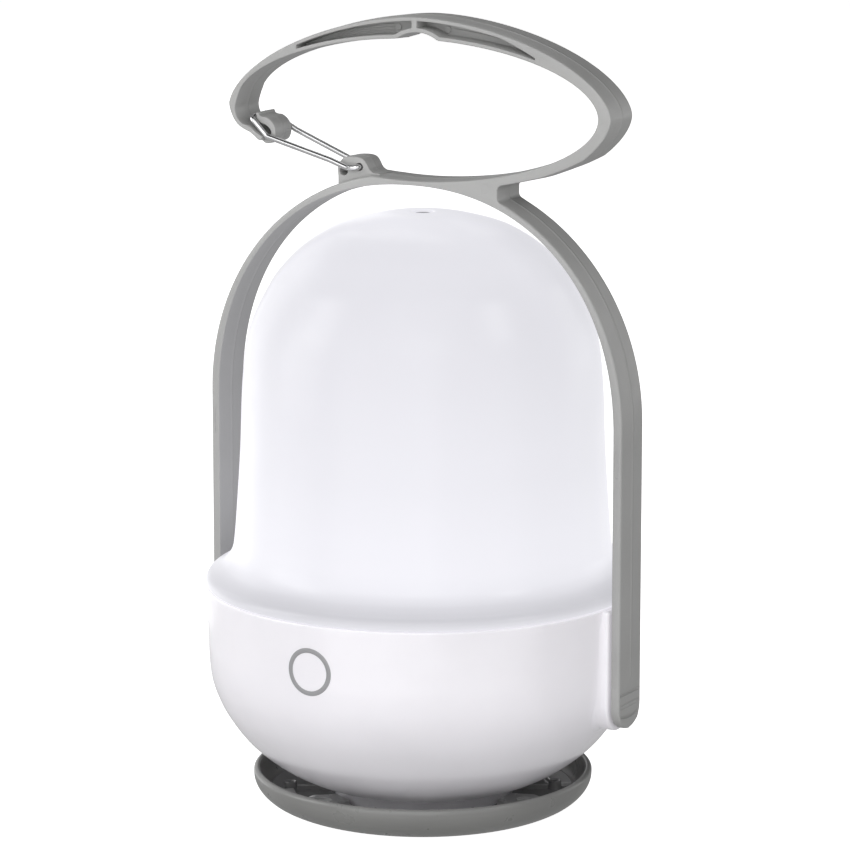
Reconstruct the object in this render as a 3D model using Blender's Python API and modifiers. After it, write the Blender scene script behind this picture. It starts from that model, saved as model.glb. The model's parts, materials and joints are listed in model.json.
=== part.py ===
"""Camping lantern: white bowl on a grey dish, opal diffuser, arched handle with a carabiner grip.

Lengths in this file are millimetres, and MM turns them into Blender's metres.
+Z is up, the lantern stands on z = 0 with its axis on the Z axis, and its front faces -Y.
"""

import math

import bmesh
import bpy
from mathutils import Matrix, Vector

MM = 0.001
GAP = 0.3                      # space left between two pieces that touch
TURN_STEPS = 36                # facets of a large turned piece
SMALL_STEPS = 20               # facets of a small turned piece

# Bowl and diffuser
SEAM_Z = 72.5
BOWL_WALL = 2.4
BOWL_INNER_R = 65.6
DOME_WALL = 2.2
SPIGOT_R = 63.2                # outside of the diffuser's collar inside the bowl
SPIGOT_WALL = 2.0
SPIGOT_Z = 67.5
BOWL_FLOOR_Z = 8.6
BOWL_HOLE_R = 20.3
SEAM_GAP = 0.35                # between the diffuser's lip and the bowl's rim
SEAL_Z = (69.0, 71.8)
GATE_MARK_R = 3.3              # moulding mark in the top of the diffuser
GATE_MARK_Z = 189.2

# Handle
HANDLE_WIDTH = 14.8            # along Y
PIVOT_Z = 41.4
ARCH_Z = 128.5
ARCH_OUTER_R = 73.3
ARCH_INNER_R = 70.2
# Centre, radii, power and tilt of the grip ring's two sides. Below 2, the power makes the ends
# sharper than an ellipse's.
RING_INNER = ((0.7, 222.2), (63.2, 21.7), 1.9, 1.0)
RING_OUTER = ((1.3, 221.36), (67.45, 29.74), 1.72, 1.7)
NOTCH_X = 2.0
NOTCH_R = 9.9
NOTCH_TOP_Z = 245.5
POCKET_DEPTH = 6.4
LUG_HALF_DEPTH = 4.5
HOOK_HALF_DEPTH = 4.85

# Wire gate
WIRE_R = 0.9
WIRE_Y = 6.1
GATE_AXIS = (-20.1, 202.9)     # x and z of the hole that the front leg turns in
GATE_REAR_END = (-24.9, 201.6)
GATE_BAR = (-58.5, 216.3)
GATE_TRAVEL = math.radians(30.0)

# Pivots
PAD_FACE_X = 69.5
PAD_HALF_WIDTH = 8.4
PAD_TOP_Z = 72.1
STUD_R = 3.0
STUD_BORE_R = 3.35
STUD_INNER_X = 58.0
STUD_HOLE_DEPTH = 1.9
BOSS_R = 6.6                   # flat boss inside the bowl round each stud
BOSS_FACE_X = 61.3
WASHER_R = 5.0
CLIP_R = 5.6
RING_THICKNESS = 1.0           # of the washers and the clips
GROOVE_HEIGHTS = (4.2, 0.2, -3.8)   # grip grooves, above and below the pivot

# Touch key
TOUCH_Z = 57.8
TOUCH_OUTER_R = 7.5
TOUCH_LINE = 1.1
TOUCH_CLEARANCE = 0.1
TOUCH_PROUD = 0.12
TOUCH_BED_Y = 66.7

# Charging port
PORT_Z = 51.3
PORT_WIDTH = 14.0
PORT_HEIGHT = 8.0
PORT_SURFACE_Y = 67.3
FLAP_THICKNESS = 1.8

# Inside
DECK_R = 60.9
DECK_FLAT_R = 44.0             # the deck rises outside this radius
DECK_RISE = 2.4
DECK_Z = 67.4
DECK_THICKNESS = 1.6
DECK_WELL_DEPTH = 1.3          # thickness left under the heads of the deck's screws
DECK_SCREW_RADIUS = 56.0
DECK_SCREW_ANGLES = (60.0, 180.0, 300.0)
BRACKET = (13.4, 7.0, 6.8)     # radial, tangential and upright size
BRACKET_RADIUS = 60.0
LED_BOARD_R = (8.0, 38.0)
LED_RADIUS = 31.0
LED_SIZE = 3.5
LED_COUNT = 12
CELL_R = 9.1
CELL_LENGTH = 65.0
CELL_PITCH = 18.6
CELL_Z = 37.0
TRAY_Z = 26.0
TRAY_FLOOR = 1.6
TRAY_END_X = 34.5
TRAY_FOOT_PLACE = 30.0         # x and y of the tray's feet
BOARD_Z = 48.0
BOARD_R = 52.0
BOARD_THICKNESS = 1.6
SOCKET_SIZE = (9.0, 12.6, 3.2)
SOCKET_Y = 56.0

# Base
DISH_RIM_R = 53.6
DISH_RIM_Z = 12.8
DISH_FLOOR_Z = 2.9
DISH_UNDER_Z = 1.6
COLLAR_R = 28.0
COLLAR_BORE_R = 17.5
FOOT_R = (30.0, 36.1)
BASE_SCREW_RADIUS = 24.0
INSERT_R = (28.6, 48.6)
INSERT_REPEATS = 6


# ---------------------------------------------------------------- helpers

def clear_scene():
    for obj in list(bpy.data.objects):
        bpy.data.objects.remove(obj, do_unlink=True)


def new_collection(name):
    collection = bpy.data.collections.new(name)
    bpy.context.scene.collection.children.link(collection)
    return collection


def make_material(name, colour, roughness, metallic=0.0, transmission=0.0):
    material = bpy.data.materials.new(name)
    material.use_nodes = True
    shader = material.node_tree.nodes["Principled BSDF"]
    shader.inputs["Base Color"].default_value = (*colour, 1.0)
    shader.inputs["Roughness"].default_value = roughness
    shader.inputs["Metallic"].default_value = metallic
    shader.inputs["Transmission Weight"].default_value = transmission
    return material


def add_object(name, mesh, material, collection):
    obj = bpy.data.objects.new(name, mesh)
    if material:
        mesh.materials.append(material)
    collection.objects.link(obj)
    return obj


def make_cutter(obj):
    """Hide an object that only shapes others."""
    obj.hide_render = True
    obj.display_type = "WIRE"
    return obj


def arc(centre, radius, start, end, count):
    """Points on a circle, from one angle in degrees to another, both included."""
    angles = [math.radians(start + (end - start) * i / (count - 1)) for i in range(count)]
    return [(centre[0] + radius * math.cos(a), centre[1] + radius * math.sin(a)) for a in angles]


def curve_point(curve, degrees):
    """The point of a (centre, radii, power, tilt) curve at an angle."""
    centre, radii, power, tilt = curve
    a, t = math.radians(degrees), math.radians(tilt)
    c, s = math.cos(a), math.sin(a)
    u = radii[0] * math.copysign(abs(c) ** (2.0 / power), c)
    w = radii[1] * math.copysign(abs(s) ** (2.0 / power), s)
    return (centre[0] + u * math.cos(t) - w * math.sin(t),
            centre[1] + u * math.sin(t) + w * math.cos(t))


def superellipse(curve, start, end, count):
    """Points on a curve, from one angle in degrees to another, both included."""
    return [curve_point(curve, start + (end - start) * i / (count - 1)) for i in range(count)]


def height_on(curve, x):
    """Height of the upper half of a curve at x."""
    low, high = 0.0, 180.0
    for _ in range(30):
        middle = 0.5 * (low + high)
        if curve_point(curve, middle)[0] > x:
            low = middle
        else:
            high = middle
    return curve_point(curve, low)[1]


def smooth_curve(points, per_span):
    """A Catmull-Rom curve through the points, with per_span steps between neighbours."""
    padded = [points[0]] + list(points) + [points[-1]]
    result = []
    for i in range(1, len(padded) - 2):
        p0, p1, p2, p3 = (Vector(p) for p in padded[i - 1:i + 3])
        for k in range(per_span):
            t = k / per_span
            a = 2.0 * p1
            b = (p2 - p0) * t
            c = (2.0 * p0 - 5.0 * p1 + 4.0 * p2 - p3) * t * t
            d = (3.0 * p1 - p0 - 3.0 * p2 + p3) * t * t * t
            result.append(tuple(0.5 * (a + b + c + d)))
    result.append(tuple(points[-1]))
    return result


def offset_curve(points, distance):
    """Move a curve sideways, to the right of its direction."""
    result = []
    for i, point in enumerate(points):
        before = Vector(points[max(i - 1, 0)])
        after = Vector(points[min(i + 1, len(points) - 1)])
        along = (after - before).normalized()
        result.append((point[0] + along.y * distance, point[1] - along.x * distance))
    return result


def turned(name, profile, material, collection, closed=True, steps=TURN_STEPS):
    """A turned piece. The profile of (radius, height) runs down its outer side."""
    mesh = bpy.data.meshes.new(name)
    edges = [(i, i + 1) for i in range(len(profile) - 1)]
    if closed:
        edges.append((len(profile) - 1, 0))
    mesh.from_pydata([(r * MM, 0.0, z * MM) for r, z in profile], edges, [])
    obj = add_object(name, mesh, material, collection)
    screw = obj.modifiers.new("Turn", "SCREW")
    screw.steps = steps
    screw.render_steps = steps
    screw.use_merge_vertices = True
    screw.merge_threshold = 0.00001
    screw.use_smooth_shade = True
    return obj


def ring_profile(inner_r, outer_r, low, high):
    return [(outer_r, high), (outer_r, low), (inner_r, low), (inner_r, high)]


PLANES = {
    "XZ": Matrix.Rotation(math.radians(90), 4, "X"),
    "YZ": Matrix.Rotation(math.radians(90), 4, "Z") @ Matrix.Rotation(math.radians(90), 4, "X"),
    "XY": Matrix.Identity(4),
}


def prism(name, outline, half_depth, plane, material, collection, centre=(0.0, 0.0, 0.0)):
    """A flat outline with thickness, half to each side of the plane through the centre."""
    curve = bpy.data.curves.new(name, "CURVE")
    curve.dimensions = "2D"
    curve.fill_mode = "BOTH"
    curve.extrude = half_depth * MM
    spline = curve.splines.new("POLY")
    spline.points.add(len(outline) - 1)
    for point, (u, v) in zip(spline.points, outline):
        point.co = (u * MM, v * MM, 0.0, 1.0)
    spline.use_cyclic_u = True
    drawn = bpy.data.objects.new(name + "_outline", curve)
    collection.objects.link(drawn)
    drawn.matrix_world = Matrix.Translation(Vector(centre) * MM) @ PLANES[plane]
    return curve_to_mesh(drawn, name, material, collection)


def curve_to_mesh(drawn, name, material, collection):
    """Turn a curve object into a closed mesh object in the same place."""
    graph = bpy.context.evaluated_depsgraph_get()
    graph.update()
    mesh = bpy.data.meshes.new_from_object(drawn.evaluated_get(graph))
    mesh.name = name
    shape = bmesh.new()
    shape.from_mesh(mesh)
    bmesh.ops.remove_doubles(shape, verts=shape.verts, dist=0.000001)
    bmesh.ops.recalc_face_normals(shape, faces=shape.faces)
    shape.to_mesh(mesh)
    shape.free()
    mesh.materials.clear()
    obj = add_object(name, mesh, material, collection)
    obj.matrix_world = drawn.matrix_world.copy()
    bpy.data.objects.remove(drawn, do_unlink=True)
    return obj


def boxes(name, places, material, collection):
    """One mesh of separate boxes, each given as (matrix, size)."""
    mesh = bpy.data.meshes.new(name)
    shape = bmesh.new()
    for matrix, size in places:
        scale = Matrix.Diagonal((size[0], size[1], size[2], 1.0))
        bmesh.ops.create_cube(shape, size=1.0, matrix=Matrix.Scale(MM, 4) @ matrix @ scale)
    shape.to_mesh(mesh)
    shape.free()
    return add_object(name, mesh, material, collection)


def cylinders(name, places, radius, depth, material, collection, segments=SMALL_STEPS):
    """One mesh of separate cylinders, each along the Z axis of its matrix."""
    mesh = bpy.data.meshes.new(name)
    shape = bmesh.new()
    for matrix in places:
        bmesh.ops.create_cone(shape, cap_ends=True, segments=segments, radius1=radius,
                              radius2=radius, depth=depth,
                              matrix=Matrix.Scale(MM, 4) @ matrix)
    shape.to_mesh(mesh)
    shape.free()
    mesh.shade_smooth()
    mesh.set_sharp_from_angle(angle=math.radians(35))
    return add_object(name, mesh, material, collection)


def at(x, y, z):
    return Matrix.Translation((x, y, z))


def around(angle, radius, z):
    """A place on a circle about the Z axis, with its own X pointing outwards."""
    return Matrix.Rotation(math.radians(angle), 4, "Z") @ at(radius, 0.0, z)


def along_x(x, y, z):
    return at(x, y, z) @ Matrix.Rotation(math.radians(90), 4, "Y")


def along_y(x, y, z):
    return at(x, y, z) @ Matrix.Rotation(math.radians(90), 4, "X")


def boolean(obj, other, operation):
    modifier = obj.modifiers.new(operation.title() + " " + other.name, "BOOLEAN")
    modifier.operation = operation
    modifier.solver = "EXACT"
    modifier.object = make_cutter(other)


def soften(obj, width, segments=2, angle=40.0):
    bevel = obj.modifiers.new("Soften", "BEVEL")
    bevel.width = width * MM
    bevel.segments = segments
    bevel.limit_method = "ANGLE"
    bevel.angle_limit = math.radians(angle)


def add_pivot(name, place, collection):
    """An empty on a joint's axis."""
    pivot = bpy.data.objects.new(name, None)
    pivot.empty_display_size = 10.0 * MM
    pivot.location = Vector(place) * MM
    collection.objects.link(pivot)
    return pivot


def attach(obj, pivot):
    """Parent a piece to an empty without moving it."""
    obj.parent = pivot
    obj.location = obj.location - pivot.location


# ---------------------------------------------------------------- outlines

def dome_wall(per_span):
    """Outer side of the diffuser from the moulding gate's recess down to its flare."""
    upright = [(3.8, 189.95), (13.0, 189.1), (24.9, 186.0), (37.9, 178.4), (47.9, 166.6),
               (54.0, 153.2), (56.2, 137.6), (57.1, 116.0), (58.1, 100.0), (59.1, 87.5)]
    flare = [(60.0, 82.6), (62.6, 79.0)]
    return smooth_curve(upright, per_span) + flare


def bowl_wall(per_span):
    """Outer side of the bowl from its rim to its flat bottom."""
    upper = [(68.1, SEAM_Z - 0.5 * SEAM_GAP), (67.6, 57.5), (67.2, 46.8)]
    lower = [(67.2, 46.8), (65.8, 39.9), (62.4, 32.4), (57.2, 25.0), (51.9, 19.7),
             (44.6, 14.5), (37.0, 10.8), (30.5, BOWL_FLOOR_Z)]
    return upper + smooth_curve(lower, per_span)[1:]


def stadium(half_width, bottom_centre_z, top_z, count=13):
    """Upright outline with a round bottom and a flat top, in the YZ plane."""
    bottom = arc((0.0, bottom_centre_z), half_width, 180.0, 360.0, count)
    return [(-half_width, top_z)] + bottom + [(half_width, top_z)]


def frame_outline():
    """The handle in the XZ plane: legs, arch and open grip ring as one strip."""
    below = PIVOT_Z - HANDLE_WIDTH
    arch_inside = arc((0.0, ARCH_Z), ARCH_INNER_R, 0.0, 180.0, 29)
    arch_left = arc((0.0, ARCH_Z), ARCH_OUTER_R, 180.0, 115.0, 12)
    shoulder = [(-26.2, 197.4), (-21.7, 199.3), (-17.3, 200.7), (-13.9, 201.2)]
    ring_inside = superellipse(RING_INNER, -100.0, 168.0, 38)
    nose_inside = [(-62.3, 222.4), (-63.1, 219.8), (-63.1, 218.0), (-62.3, 215.9),
                   (-60.6, 214.4), (-58.5, 213.8), (-57.1, 213.0), (-55.2, 211.5)]
    nose_outside = [(-54.4, 210.9), (-54.2, 209.5), (-55.0, 209.2), (-57.0, 210.6),
                    (-60.1, 212.1), (-62.2, 213.3), (-64.0, 215.1), (-65.2, 217.6)]
    ring_outside = superellipse(RING_OUTER, 176.5, -29.0, 34)
    ring_underside = [(54.0, 207.5), (50.0, 205.9), (44.5, 203.9), (38.0, 202.2), (32.4, 200.9)]
    fork = [(31.0, 200.5), (30.4, 199.7), (30.3, 198.4), (30.6, 197.0), (31.7, 195.5)]
    arch_right = arc((0.0, ARCH_Z), ARCH_OUTER_R, 62.5, 0.0, 12)
    legs = ([(ARCH_INNER_R, below)] + arch_inside + [(-ARCH_INNER_R, below)]
            + [(-ARCH_OUTER_R, below)] + arch_left)
    ring = shoulder + ring_inside + nose_inside + nose_outside + ring_outside
    return legs + ring + ring_underside + fork + arch_right + [(ARCH_OUTER_R, below)]


def lug_outline():
    """The gate's lug, which stands on the left shoulder of the arch."""
    return [(-15.0, 199.2), (-14.6, 200.9), (-16.2, 202.4), (-17.1, 204.4), (-18.4, 205.7),
            (-20.5, 206.1), (-24.4, 206.2), (-26.6, 205.2), (-27.8, 203.0), (-27.8, 195.6)]


def hook_outline():
    """The hook at the ring's open end, which stands between the gate's two legs."""
    outside = [(-54.8, 208.8), (-53.8, 208.1), (-52.2, 208.1), (-50.9, 208.9), (-50.2, 210.3),
               (-50.0, 211.9), (-50.3, 213.6), (-51.4, 215.2), (-53.2, 216.4), (-54.7, 216.5)]
    tip = [(-55.7, 216.9), (-56.2, 217.8), (-56.7, 217.8), (-57.0, 216.6), (-56.7, 215.4)]
    inside = [(-55.5, 214.4), (-53.7, 213.8), (-52.3, 212.8), (-51.8, 211.7), (-52.2, 210.9),
              (-53.2, 210.6), (-54.6, 210.9)]
    root = [(-55.8, 211.2), (-56.0, 210.6)]
    return outside + tip + inside + root


def pocket_outline(side):
    """One of the two crescent pockets in the top of the ring, left (-1) or right (1)."""
    web = 1.0 + 0.9 * side
    tip = 0.9 + 41.5 * side
    count = 9
    xs = [web + (tip - web) * i / (count - 1) for i in range(count)]
    upper = []
    lower = []
    for x in xs:
        top = height_on(RING_OUTER, x) - 1.4
        bottom = height_on(RING_INNER, x) + 1.5
        reach = NOTCH_R + 1.7
        if abs(x - NOTCH_X) < reach:
            round_notch = NOTCH_TOP_Z - NOTCH_R + math.sqrt(reach ** 2 - (x - NOTCH_X) ** 2)
            bottom = max(bottom, round_notch)
        upper.append((x, top))
        lower.append((x, min(bottom, top - 0.5)))
    return upper + lower[::-1]


# ---------------------------------------------------------------- bowl and light

def make_dome(mats, parts):
    wall = dome_wall(2)
    under_lip = SEAM_Z + 0.5 * SEAM_GAP
    lip = [(65.4, 77.0), (67.2, 75.9), (68.0, 74.6), (68.1, under_lip)]
    collar = [(SPIGOT_R, under_lip), (SPIGOT_R, SPIGOT_Z), (SPIGOT_R - SPIGOT_WALL, SPIGOT_Z)]
    inside = offset_curve(dome_wall(1), DOME_WALL)[::-1]
    recess = [(0.0, GATE_MARK_Z), (GATE_MARK_R, GATE_MARK_Z)]
    top_inside = [(0.0, GATE_MARK_Z - DOME_WALL)]
    profile = recess + wall + lip + collar + inside + top_inside
    return turned("diffuser_dome", profile, mats["opal"], parts, closed=False)


def make_seal(mats, parts):
    profile = ring_profile(SPIGOT_R + GAP, BOWL_INNER_R - GAP, *SEAL_Z)
    return turned("dome_seal", profile, mats["rubber"], parts)


def make_bowl(mats, parts, cutters):
    outside = bowl_wall(2)
    inside = offset_curve(bowl_wall(1), BOWL_WALL)[::-1]
    inside[-1] = (BOWL_INNER_R, outside[0][1])
    bottom = [(BOWL_HOLE_R, BOWL_FLOOR_Z), (BOWL_HOLE_R, BOWL_FLOOR_Z + BOWL_WALL)]
    bowl = turned("body_bowl", outside + bottom + inside, mats["white"], parts)
    add_brackets(bowl, cutters)
    add_bosses(bowl, cutters)
    port_size = (PORT_WIDTH + 2.0 * GAP, 12.0, PORT_HEIGHT + 3.0 * GAP)
    port = boxes("port_recess", [(at(0.0, PORT_SURFACE_Y, PORT_Z), port_size)], None, cutters)
    boolean(bowl, port, "DIFFERENCE")
    groove = touch_prism("touch_groove", TOUCH_CLEARANCE, None, cutters)
    boolean(bowl, groove, "DIFFERENCE")


def add_brackets(bowl, cutters):
    """Brackets under the LED deck, each with a pilot hole for its screw."""
    middle = DECK_Z - 1.3 * GAP - 0.5 * BRACKET[2]
    brackets = [(around(a, BRACKET_RADIUS, middle), BRACKET) for a in DECK_SCREW_ANGLES]
    boolean(bowl, boxes("bowl_brackets", brackets, None, cutters), "UNION")
    holes = [around(a, DECK_SCREW_RADIUS, DECK_Z - 2.4) for a in DECK_SCREW_ANGLES]
    boolean(bowl, cylinders("bracket_holes", holes, 1.1, 8.0, None, cutters, 12), "DIFFERENCE")


def add_bosses(bowl, cutters):
    """A flat boss inside each side of the bowl, and the bores of the two studs."""
    length = 0.5 * (BOWL_INNER_R - BOSS_FACE_X)
    places = [along_x(s * (BOSS_FACE_X + 0.5 * length), 0.0, PIVOT_Z) for s in (-1, 1)]
    boolean(bowl, cylinders("bowl_bosses", places, BOSS_R, length, None, cutters), "UNION")
    bores = [along_x(s * BOWL_INNER_R, 0.0, PIVOT_Z) for s in (-1, 1)]
    boolean(bowl, cylinders("bowl_bores", bores, STUD_BORE_R, 20.0, None, cutters),
            "DIFFERENCE")


def touch_prism(name, clearance, material, collection):
    """The touch key's ring as a straight tube that stands out of the bowl's front."""
    profile = ring_profile(TOUCH_OUTER_R - TOUCH_LINE - clearance, TOUCH_OUTER_R + clearance,
                           TOUCH_BED_Y - clearance, TOUCH_BED_Y + 3.0)
    tube = turned(name, profile, material, collection, steps=32)
    tube.location = (0.0, 0.0, TOUCH_Z * MM)
    tube.rotation_euler = (math.radians(90), 0.0, 0.0)
    return tube


def bowl_envelope(name, clearance, cutters):
    """The bowl's outer shape as a solid, grown by a clearance."""
    outside = offset_curve(bowl_wall(2), -clearance)
    profile = ([(0.0, SEAM_Z + 1.0), (outside[0][0], SEAM_Z + 1.0)] + outside
               + [(0.0, BOWL_FLOOR_Z - clearance)])
    return turned(name, profile, None, cutters, closed=False)


def make_touch_ring(mats, parts, cutters):
    ring = touch_prism("touch_ring", 0.0, mats["ink_grey"], parts)
    boolean(ring, bowl_envelope("touch_surface", TOUCH_PROUD, cutters), "INTERSECT")


def make_touch_board(mats, parts):
    return boxes("touch_board", [(at(0.0, -62.8, TOUCH_Z), (15.0, 1.0, 15.0))],
                 mats["board_green"], parts)


def make_pads(mats, parts, cutters):
    outline = stadium(PAD_HALF_WIDTH, PIVOT_Z, PAD_TOP_Z)
    depth = 0.5 * (PAD_FACE_X - 50.0)
    for side, sign in (("left", -1), ("right", 1)):
        pad = prism("pivot_pad_" + side, outline, depth, "YZ", mats["white"], parts,
                    (sign * (PAD_FACE_X - depth), 0.0, 0.0))
        surface = bowl_envelope("pad_seat_" + side, GAP, cutters)
        boolean(pad, surface, "DIFFERENCE")
        bore = cylinders("pad_bore_" + side, [along_x(sign * 62.0, 0.0, PIVOT_Z)],
                         STUD_BORE_R, 24.0, None, cutters)
        boolean(pad, bore, "DIFFERENCE")


def make_deck(mats, parts, cutters):
    top = DECK_Z + DECK_THICKNESS
    profile = [(0.0, top), (DECK_FLAT_R, top), (DECK_R, top + DECK_RISE), (DECK_R, DECK_Z),
               (0.0, DECK_Z)]
    deck = turned("led_deck", profile, mats["white"], parts, closed=False)
    holes = [around(a, DECK_SCREW_RADIUS, DECK_Z + 1.0) for a in DECK_SCREW_ANGLES]
    boolean(deck, cylinders("deck_holes", holes, 1.7, 12.0, None, cutters, 12), "DIFFERENCE")
    well_height = 5.4
    well_z = DECK_Z + DECK_WELL_DEPTH + 0.5 * well_height
    wells = [around(a, DECK_SCREW_RADIUS, well_z) for a in DECK_SCREW_ANGLES]
    boolean(deck, cylinders("deck_wells", wells, 3.0, well_height, None, cutters, 12),
            "DIFFERENCE")


def make_led_board(mats, parts, cutters):
    low = DECK_Z + DECK_THICKNESS + GAP
    profile = ring_profile(*LED_BOARD_R, low, low + 1.2)
    board = turned("led_board", profile, mats["board_white"], parts)
    chip = (LED_SIZE, LED_SIZE, 1.4)
    chips = [(around(360.0 * i / LED_COUNT, LED_RADIUS, low + 1.4), chip)
             for i in range(LED_COUNT)]
    boolean(board, boxes("led_chips", chips, None, cutters), "UNION")


def make_screw(name, place, head_r, head_height, shank_r, shank_length, material, parts):
    """A screw that points along the place's Z axis, with its head at the origin."""
    profile = [(0.0, shank_length), (shank_r, shank_length), (shank_r, 0.0), (head_r, 0.0),
               (head_r, -head_height), (0.0, -head_height)]
    screw = turned(name, profile, material, parts, closed=False, steps=12)
    screw.matrix_world = Matrix.Translation(place.translation * MM) @ place.to_3x3().to_4x4()
    return screw


def make_deck_screws(mats, parts):
    head_z = DECK_Z + DECK_WELL_DEPTH + GAP
    for i, angle in enumerate(DECK_SCREW_ANGLES, 1):
        place = around(angle, DECK_SCREW_RADIUS, head_z) @ Matrix.Rotation(math.pi, 4, "X")
        make_screw("deck_screw_%d" % i, place, 2.4, 1.3, 0.8, 6.5, mats["steel"], parts)


# ---------------------------------------------------------------- battery and electronics

def make_cells(mats, parts):
    for i in range(4):
        y = (i - 1.5) * CELL_PITCH
        cylinders("battery_cell_%d" % (i + 1), [along_x(0.0, y, CELL_Z)], CELL_R, CELL_LENGTH,
                  mats["cell_blue"], parts, 24)


def make_cell_straps(mats, parts):
    for side, sign in (("left", -1), ("right", 1)):
        x = sign * (0.5 * CELL_LENGTH + GAP + 0.2)
        boxes("cell_strap_" + side, [(at(x, 0.0, CELL_Z), (0.4, 64.0, 7.0))],
              mats["steel"], parts)


def make_cell_holder(mats, parts, cutters):
    half_y = 2.0 * CELL_PITCH + 1.2
    tray = boxes("cell_holder", [(at(0.0, 0.0, TRAY_Z + 0.5 * TRAY_FLOOR),
                                  (2.0 * TRAY_END_X + 2.0, 2.0 * half_y, TRAY_FLOOR))],
                 mats["black"], parts)
    height = BOARD_Z - GAP - TRAY_Z - 0.4
    ends = [(at(s * TRAY_END_X, 0.0, TRAY_Z + 0.4 + 0.5 * height), (1.6, 60.0, height))
            for s in (-1, 1)]
    boolean(tray, boxes("tray_ends", ends, None, cutters), "UNION")
    feet = [at(sx * TRAY_FOOT_PLACE, sy * TRAY_FOOT_PLACE, 22.3)
            for sx in (-1, 1) for sy in (-1, 1)]
    boolean(tray, cylinders("tray_feet", feet, 2.4, 9.0, None, cutters, 12), "UNION")


def make_driver_board(mats, parts, cutters):
    top = BOARD_Z + BOARD_THICKNESS
    disc = [(0.0, top), (BOARD_R, top), (BOARD_R, BOARD_Z), (0.0, BOARD_Z)]
    board = turned("driver_board", disc, mats["board_green"], parts, closed=False)
    chips = [(at(-16.0, 12.0, top + 0.6), (10.0, 10.0, 2.2)),
             (at(14.0, 10.0, top + 2.0), (12.0, 12.0, 5.0)),
             (at(-12.0, -18.0, top + 0.4), (7.0, 7.0, 1.8)),
             (at(20.0, -16.0, top + 2.6), (8.0, 8.0, 6.2))]
    boolean(board, boxes("board_chips", chips, None, cutters), "UNION")


def make_usb_socket(mats, parts, cutters):
    width, length, height = SOCKET_SIZE
    middle = BOARD_Z + BOARD_THICKNESS + GAP + 0.5 * height
    socket = boxes("usb_socket", [(at(0.0, SOCKET_Y, middle), SOCKET_SIZE)], mats["steel"],
                   parts)
    soften(socket, 1.2, 3)
    hollow = (width - 1.4, length, height - 1.0)
    mouth = boxes("socket_mouth", [(at(0.0, SOCKET_Y + 2.5, middle), hollow)], None, cutters)
    boolean(socket, mouth, "DIFFERENCE")


def make_port_cover(mats, parts, cutters):
    """Rubber flap, flush with the bowl, hinged along its lower outer edge."""
    half = 0.5 * FLAP_THICKNESS
    flap = boxes("port_cover", [(at(0.0, PORT_SURFACE_Y - half, PORT_Z),
                                 (PORT_WIDTH, FLAP_THICKNESS, PORT_HEIGHT))],
                 mats["rubber"], parts)
    boolean(flap, bowl_envelope("flap_surface", 0.1, cutters), "INTERSECT")
    pivot = add_pivot("port_cover_axis", (0.0, PORT_SURFACE_Y, PORT_Z - 0.5 * PORT_HEIGHT),
                      parts)
    attach(flap, pivot)


# ---------------------------------------------------------------- base

def make_collar(mats, parts, cutters):
    top = BOWL_FLOOR_Z - GAP
    low = DISH_FLOOR_Z + GAP
    spigot = BOWL_HOLE_R - GAP
    profile = [(COLLAR_R, top), (COLLAR_R, low), (COLLAR_BORE_R, low), (COLLAR_BORE_R, 11.6),
               (spigot, 11.6), (spigot, top)]
    collar = turned("neck_collar", profile, mats["white"], parts)
    holes = [around(45.0 + 90.0 * i, BASE_SCREW_RADIUS, 3.5) for i in range(4)]
    boolean(collar, cylinders("collar_holes", holes, 1.2, 7.0, None, cutters, 12),
            "DIFFERENCE")


def make_dish(mats, parts, cutters):
    rim_r = DISH_RIM_R
    inside = [(0.0, DISH_FLOOR_Z), (46.5, DISH_FLOOR_Z), (49.2, 4.4), (50.8, 7.0),
              (51.7, 10.0), (51.9, 12.3)]
    rim = [(52.3, DISH_RIM_Z), (52.9, DISH_RIM_Z), (53.4, 12.2)]
    outside = [(rim_r, 11.0), (53.4, 9.6), (52.9, 8.1), (52.0, 6.6), (50.6, 5.0), (48.6, 3.5),
               (45.5, 2.1), (42.0, 1.1), (38.0, 0.6)]
    under = [(FOOT_R[1] + GAP, 0.6), (FOOT_R[1] + GAP, DISH_UNDER_Z), (0.0, DISH_UNDER_Z)]
    dish = turned("base_dish", inside + rim + outside + under, mats["grey"], parts,
                  closed=False)
    holes = [around(45.0 + 90.0 * i, BASE_SCREW_RADIUS, 2.0) for i in range(4)]
    boolean(dish, cylinders("dish_holes", holes, 1.4, 6.0, None, cutters, 12), "DIFFERENCE")


def make_insert(mats, parts, cutters):
    inner_r, outer_r = INSERT_R
    low = DISH_FLOOR_Z + GAP
    plate = [(outer_r, low + 1.9), (outer_r, low + 0.9), (46.0, low), (inner_r, low),
             (inner_r, low + 1.2), (46.0, low + 1.2)]
    insert = turned("dish_insert", plate, mats["gloss_grey"], parts)
    step = 360.0 / INSERT_REPEATS
    pads = [(around(step * i, 35.5, low + 1.7), (12.0, 15.0, 2.2))
            for i in range(INSERT_REPEATS)]
    boolean(insert, boxes("insert_pads", pads, None, cutters), "UNION")
    bosses = [around(step * (i + 0.5), 42.0, low + 2.3) for i in range(INSERT_REPEATS)]
    boolean(insert, cylinders("insert_bosses", bosses, 2.0, 3.6, None, cutters, 12), "UNION")
    ribs = [(around(step * (i + 0.5), 36.0, low + 1.6), (9.0, 1.2, 2.0))
            for i in range(INSERT_REPEATS)]
    boolean(insert, boxes("insert_ribs", ribs, None, cutters), "UNION")


def make_foot(mats, parts):
    return turned("foot_ring", ring_profile(FOOT_R[0], FOOT_R[1], 0.0, DISH_UNDER_Z - GAP),
                  mats["rubber"], parts)


def make_base_screws(mats, parts):
    for i in range(4):
        place = around(45.0 + 90.0 * i, BASE_SCREW_RADIUS, DISH_UNDER_Z - GAP)
        make_screw("base_screw_%d" % (i + 1), place, 2.2, 0.9, 0.9, 5.0, mats["steel"], parts)


# ---------------------------------------------------------------- handle and gate

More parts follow.
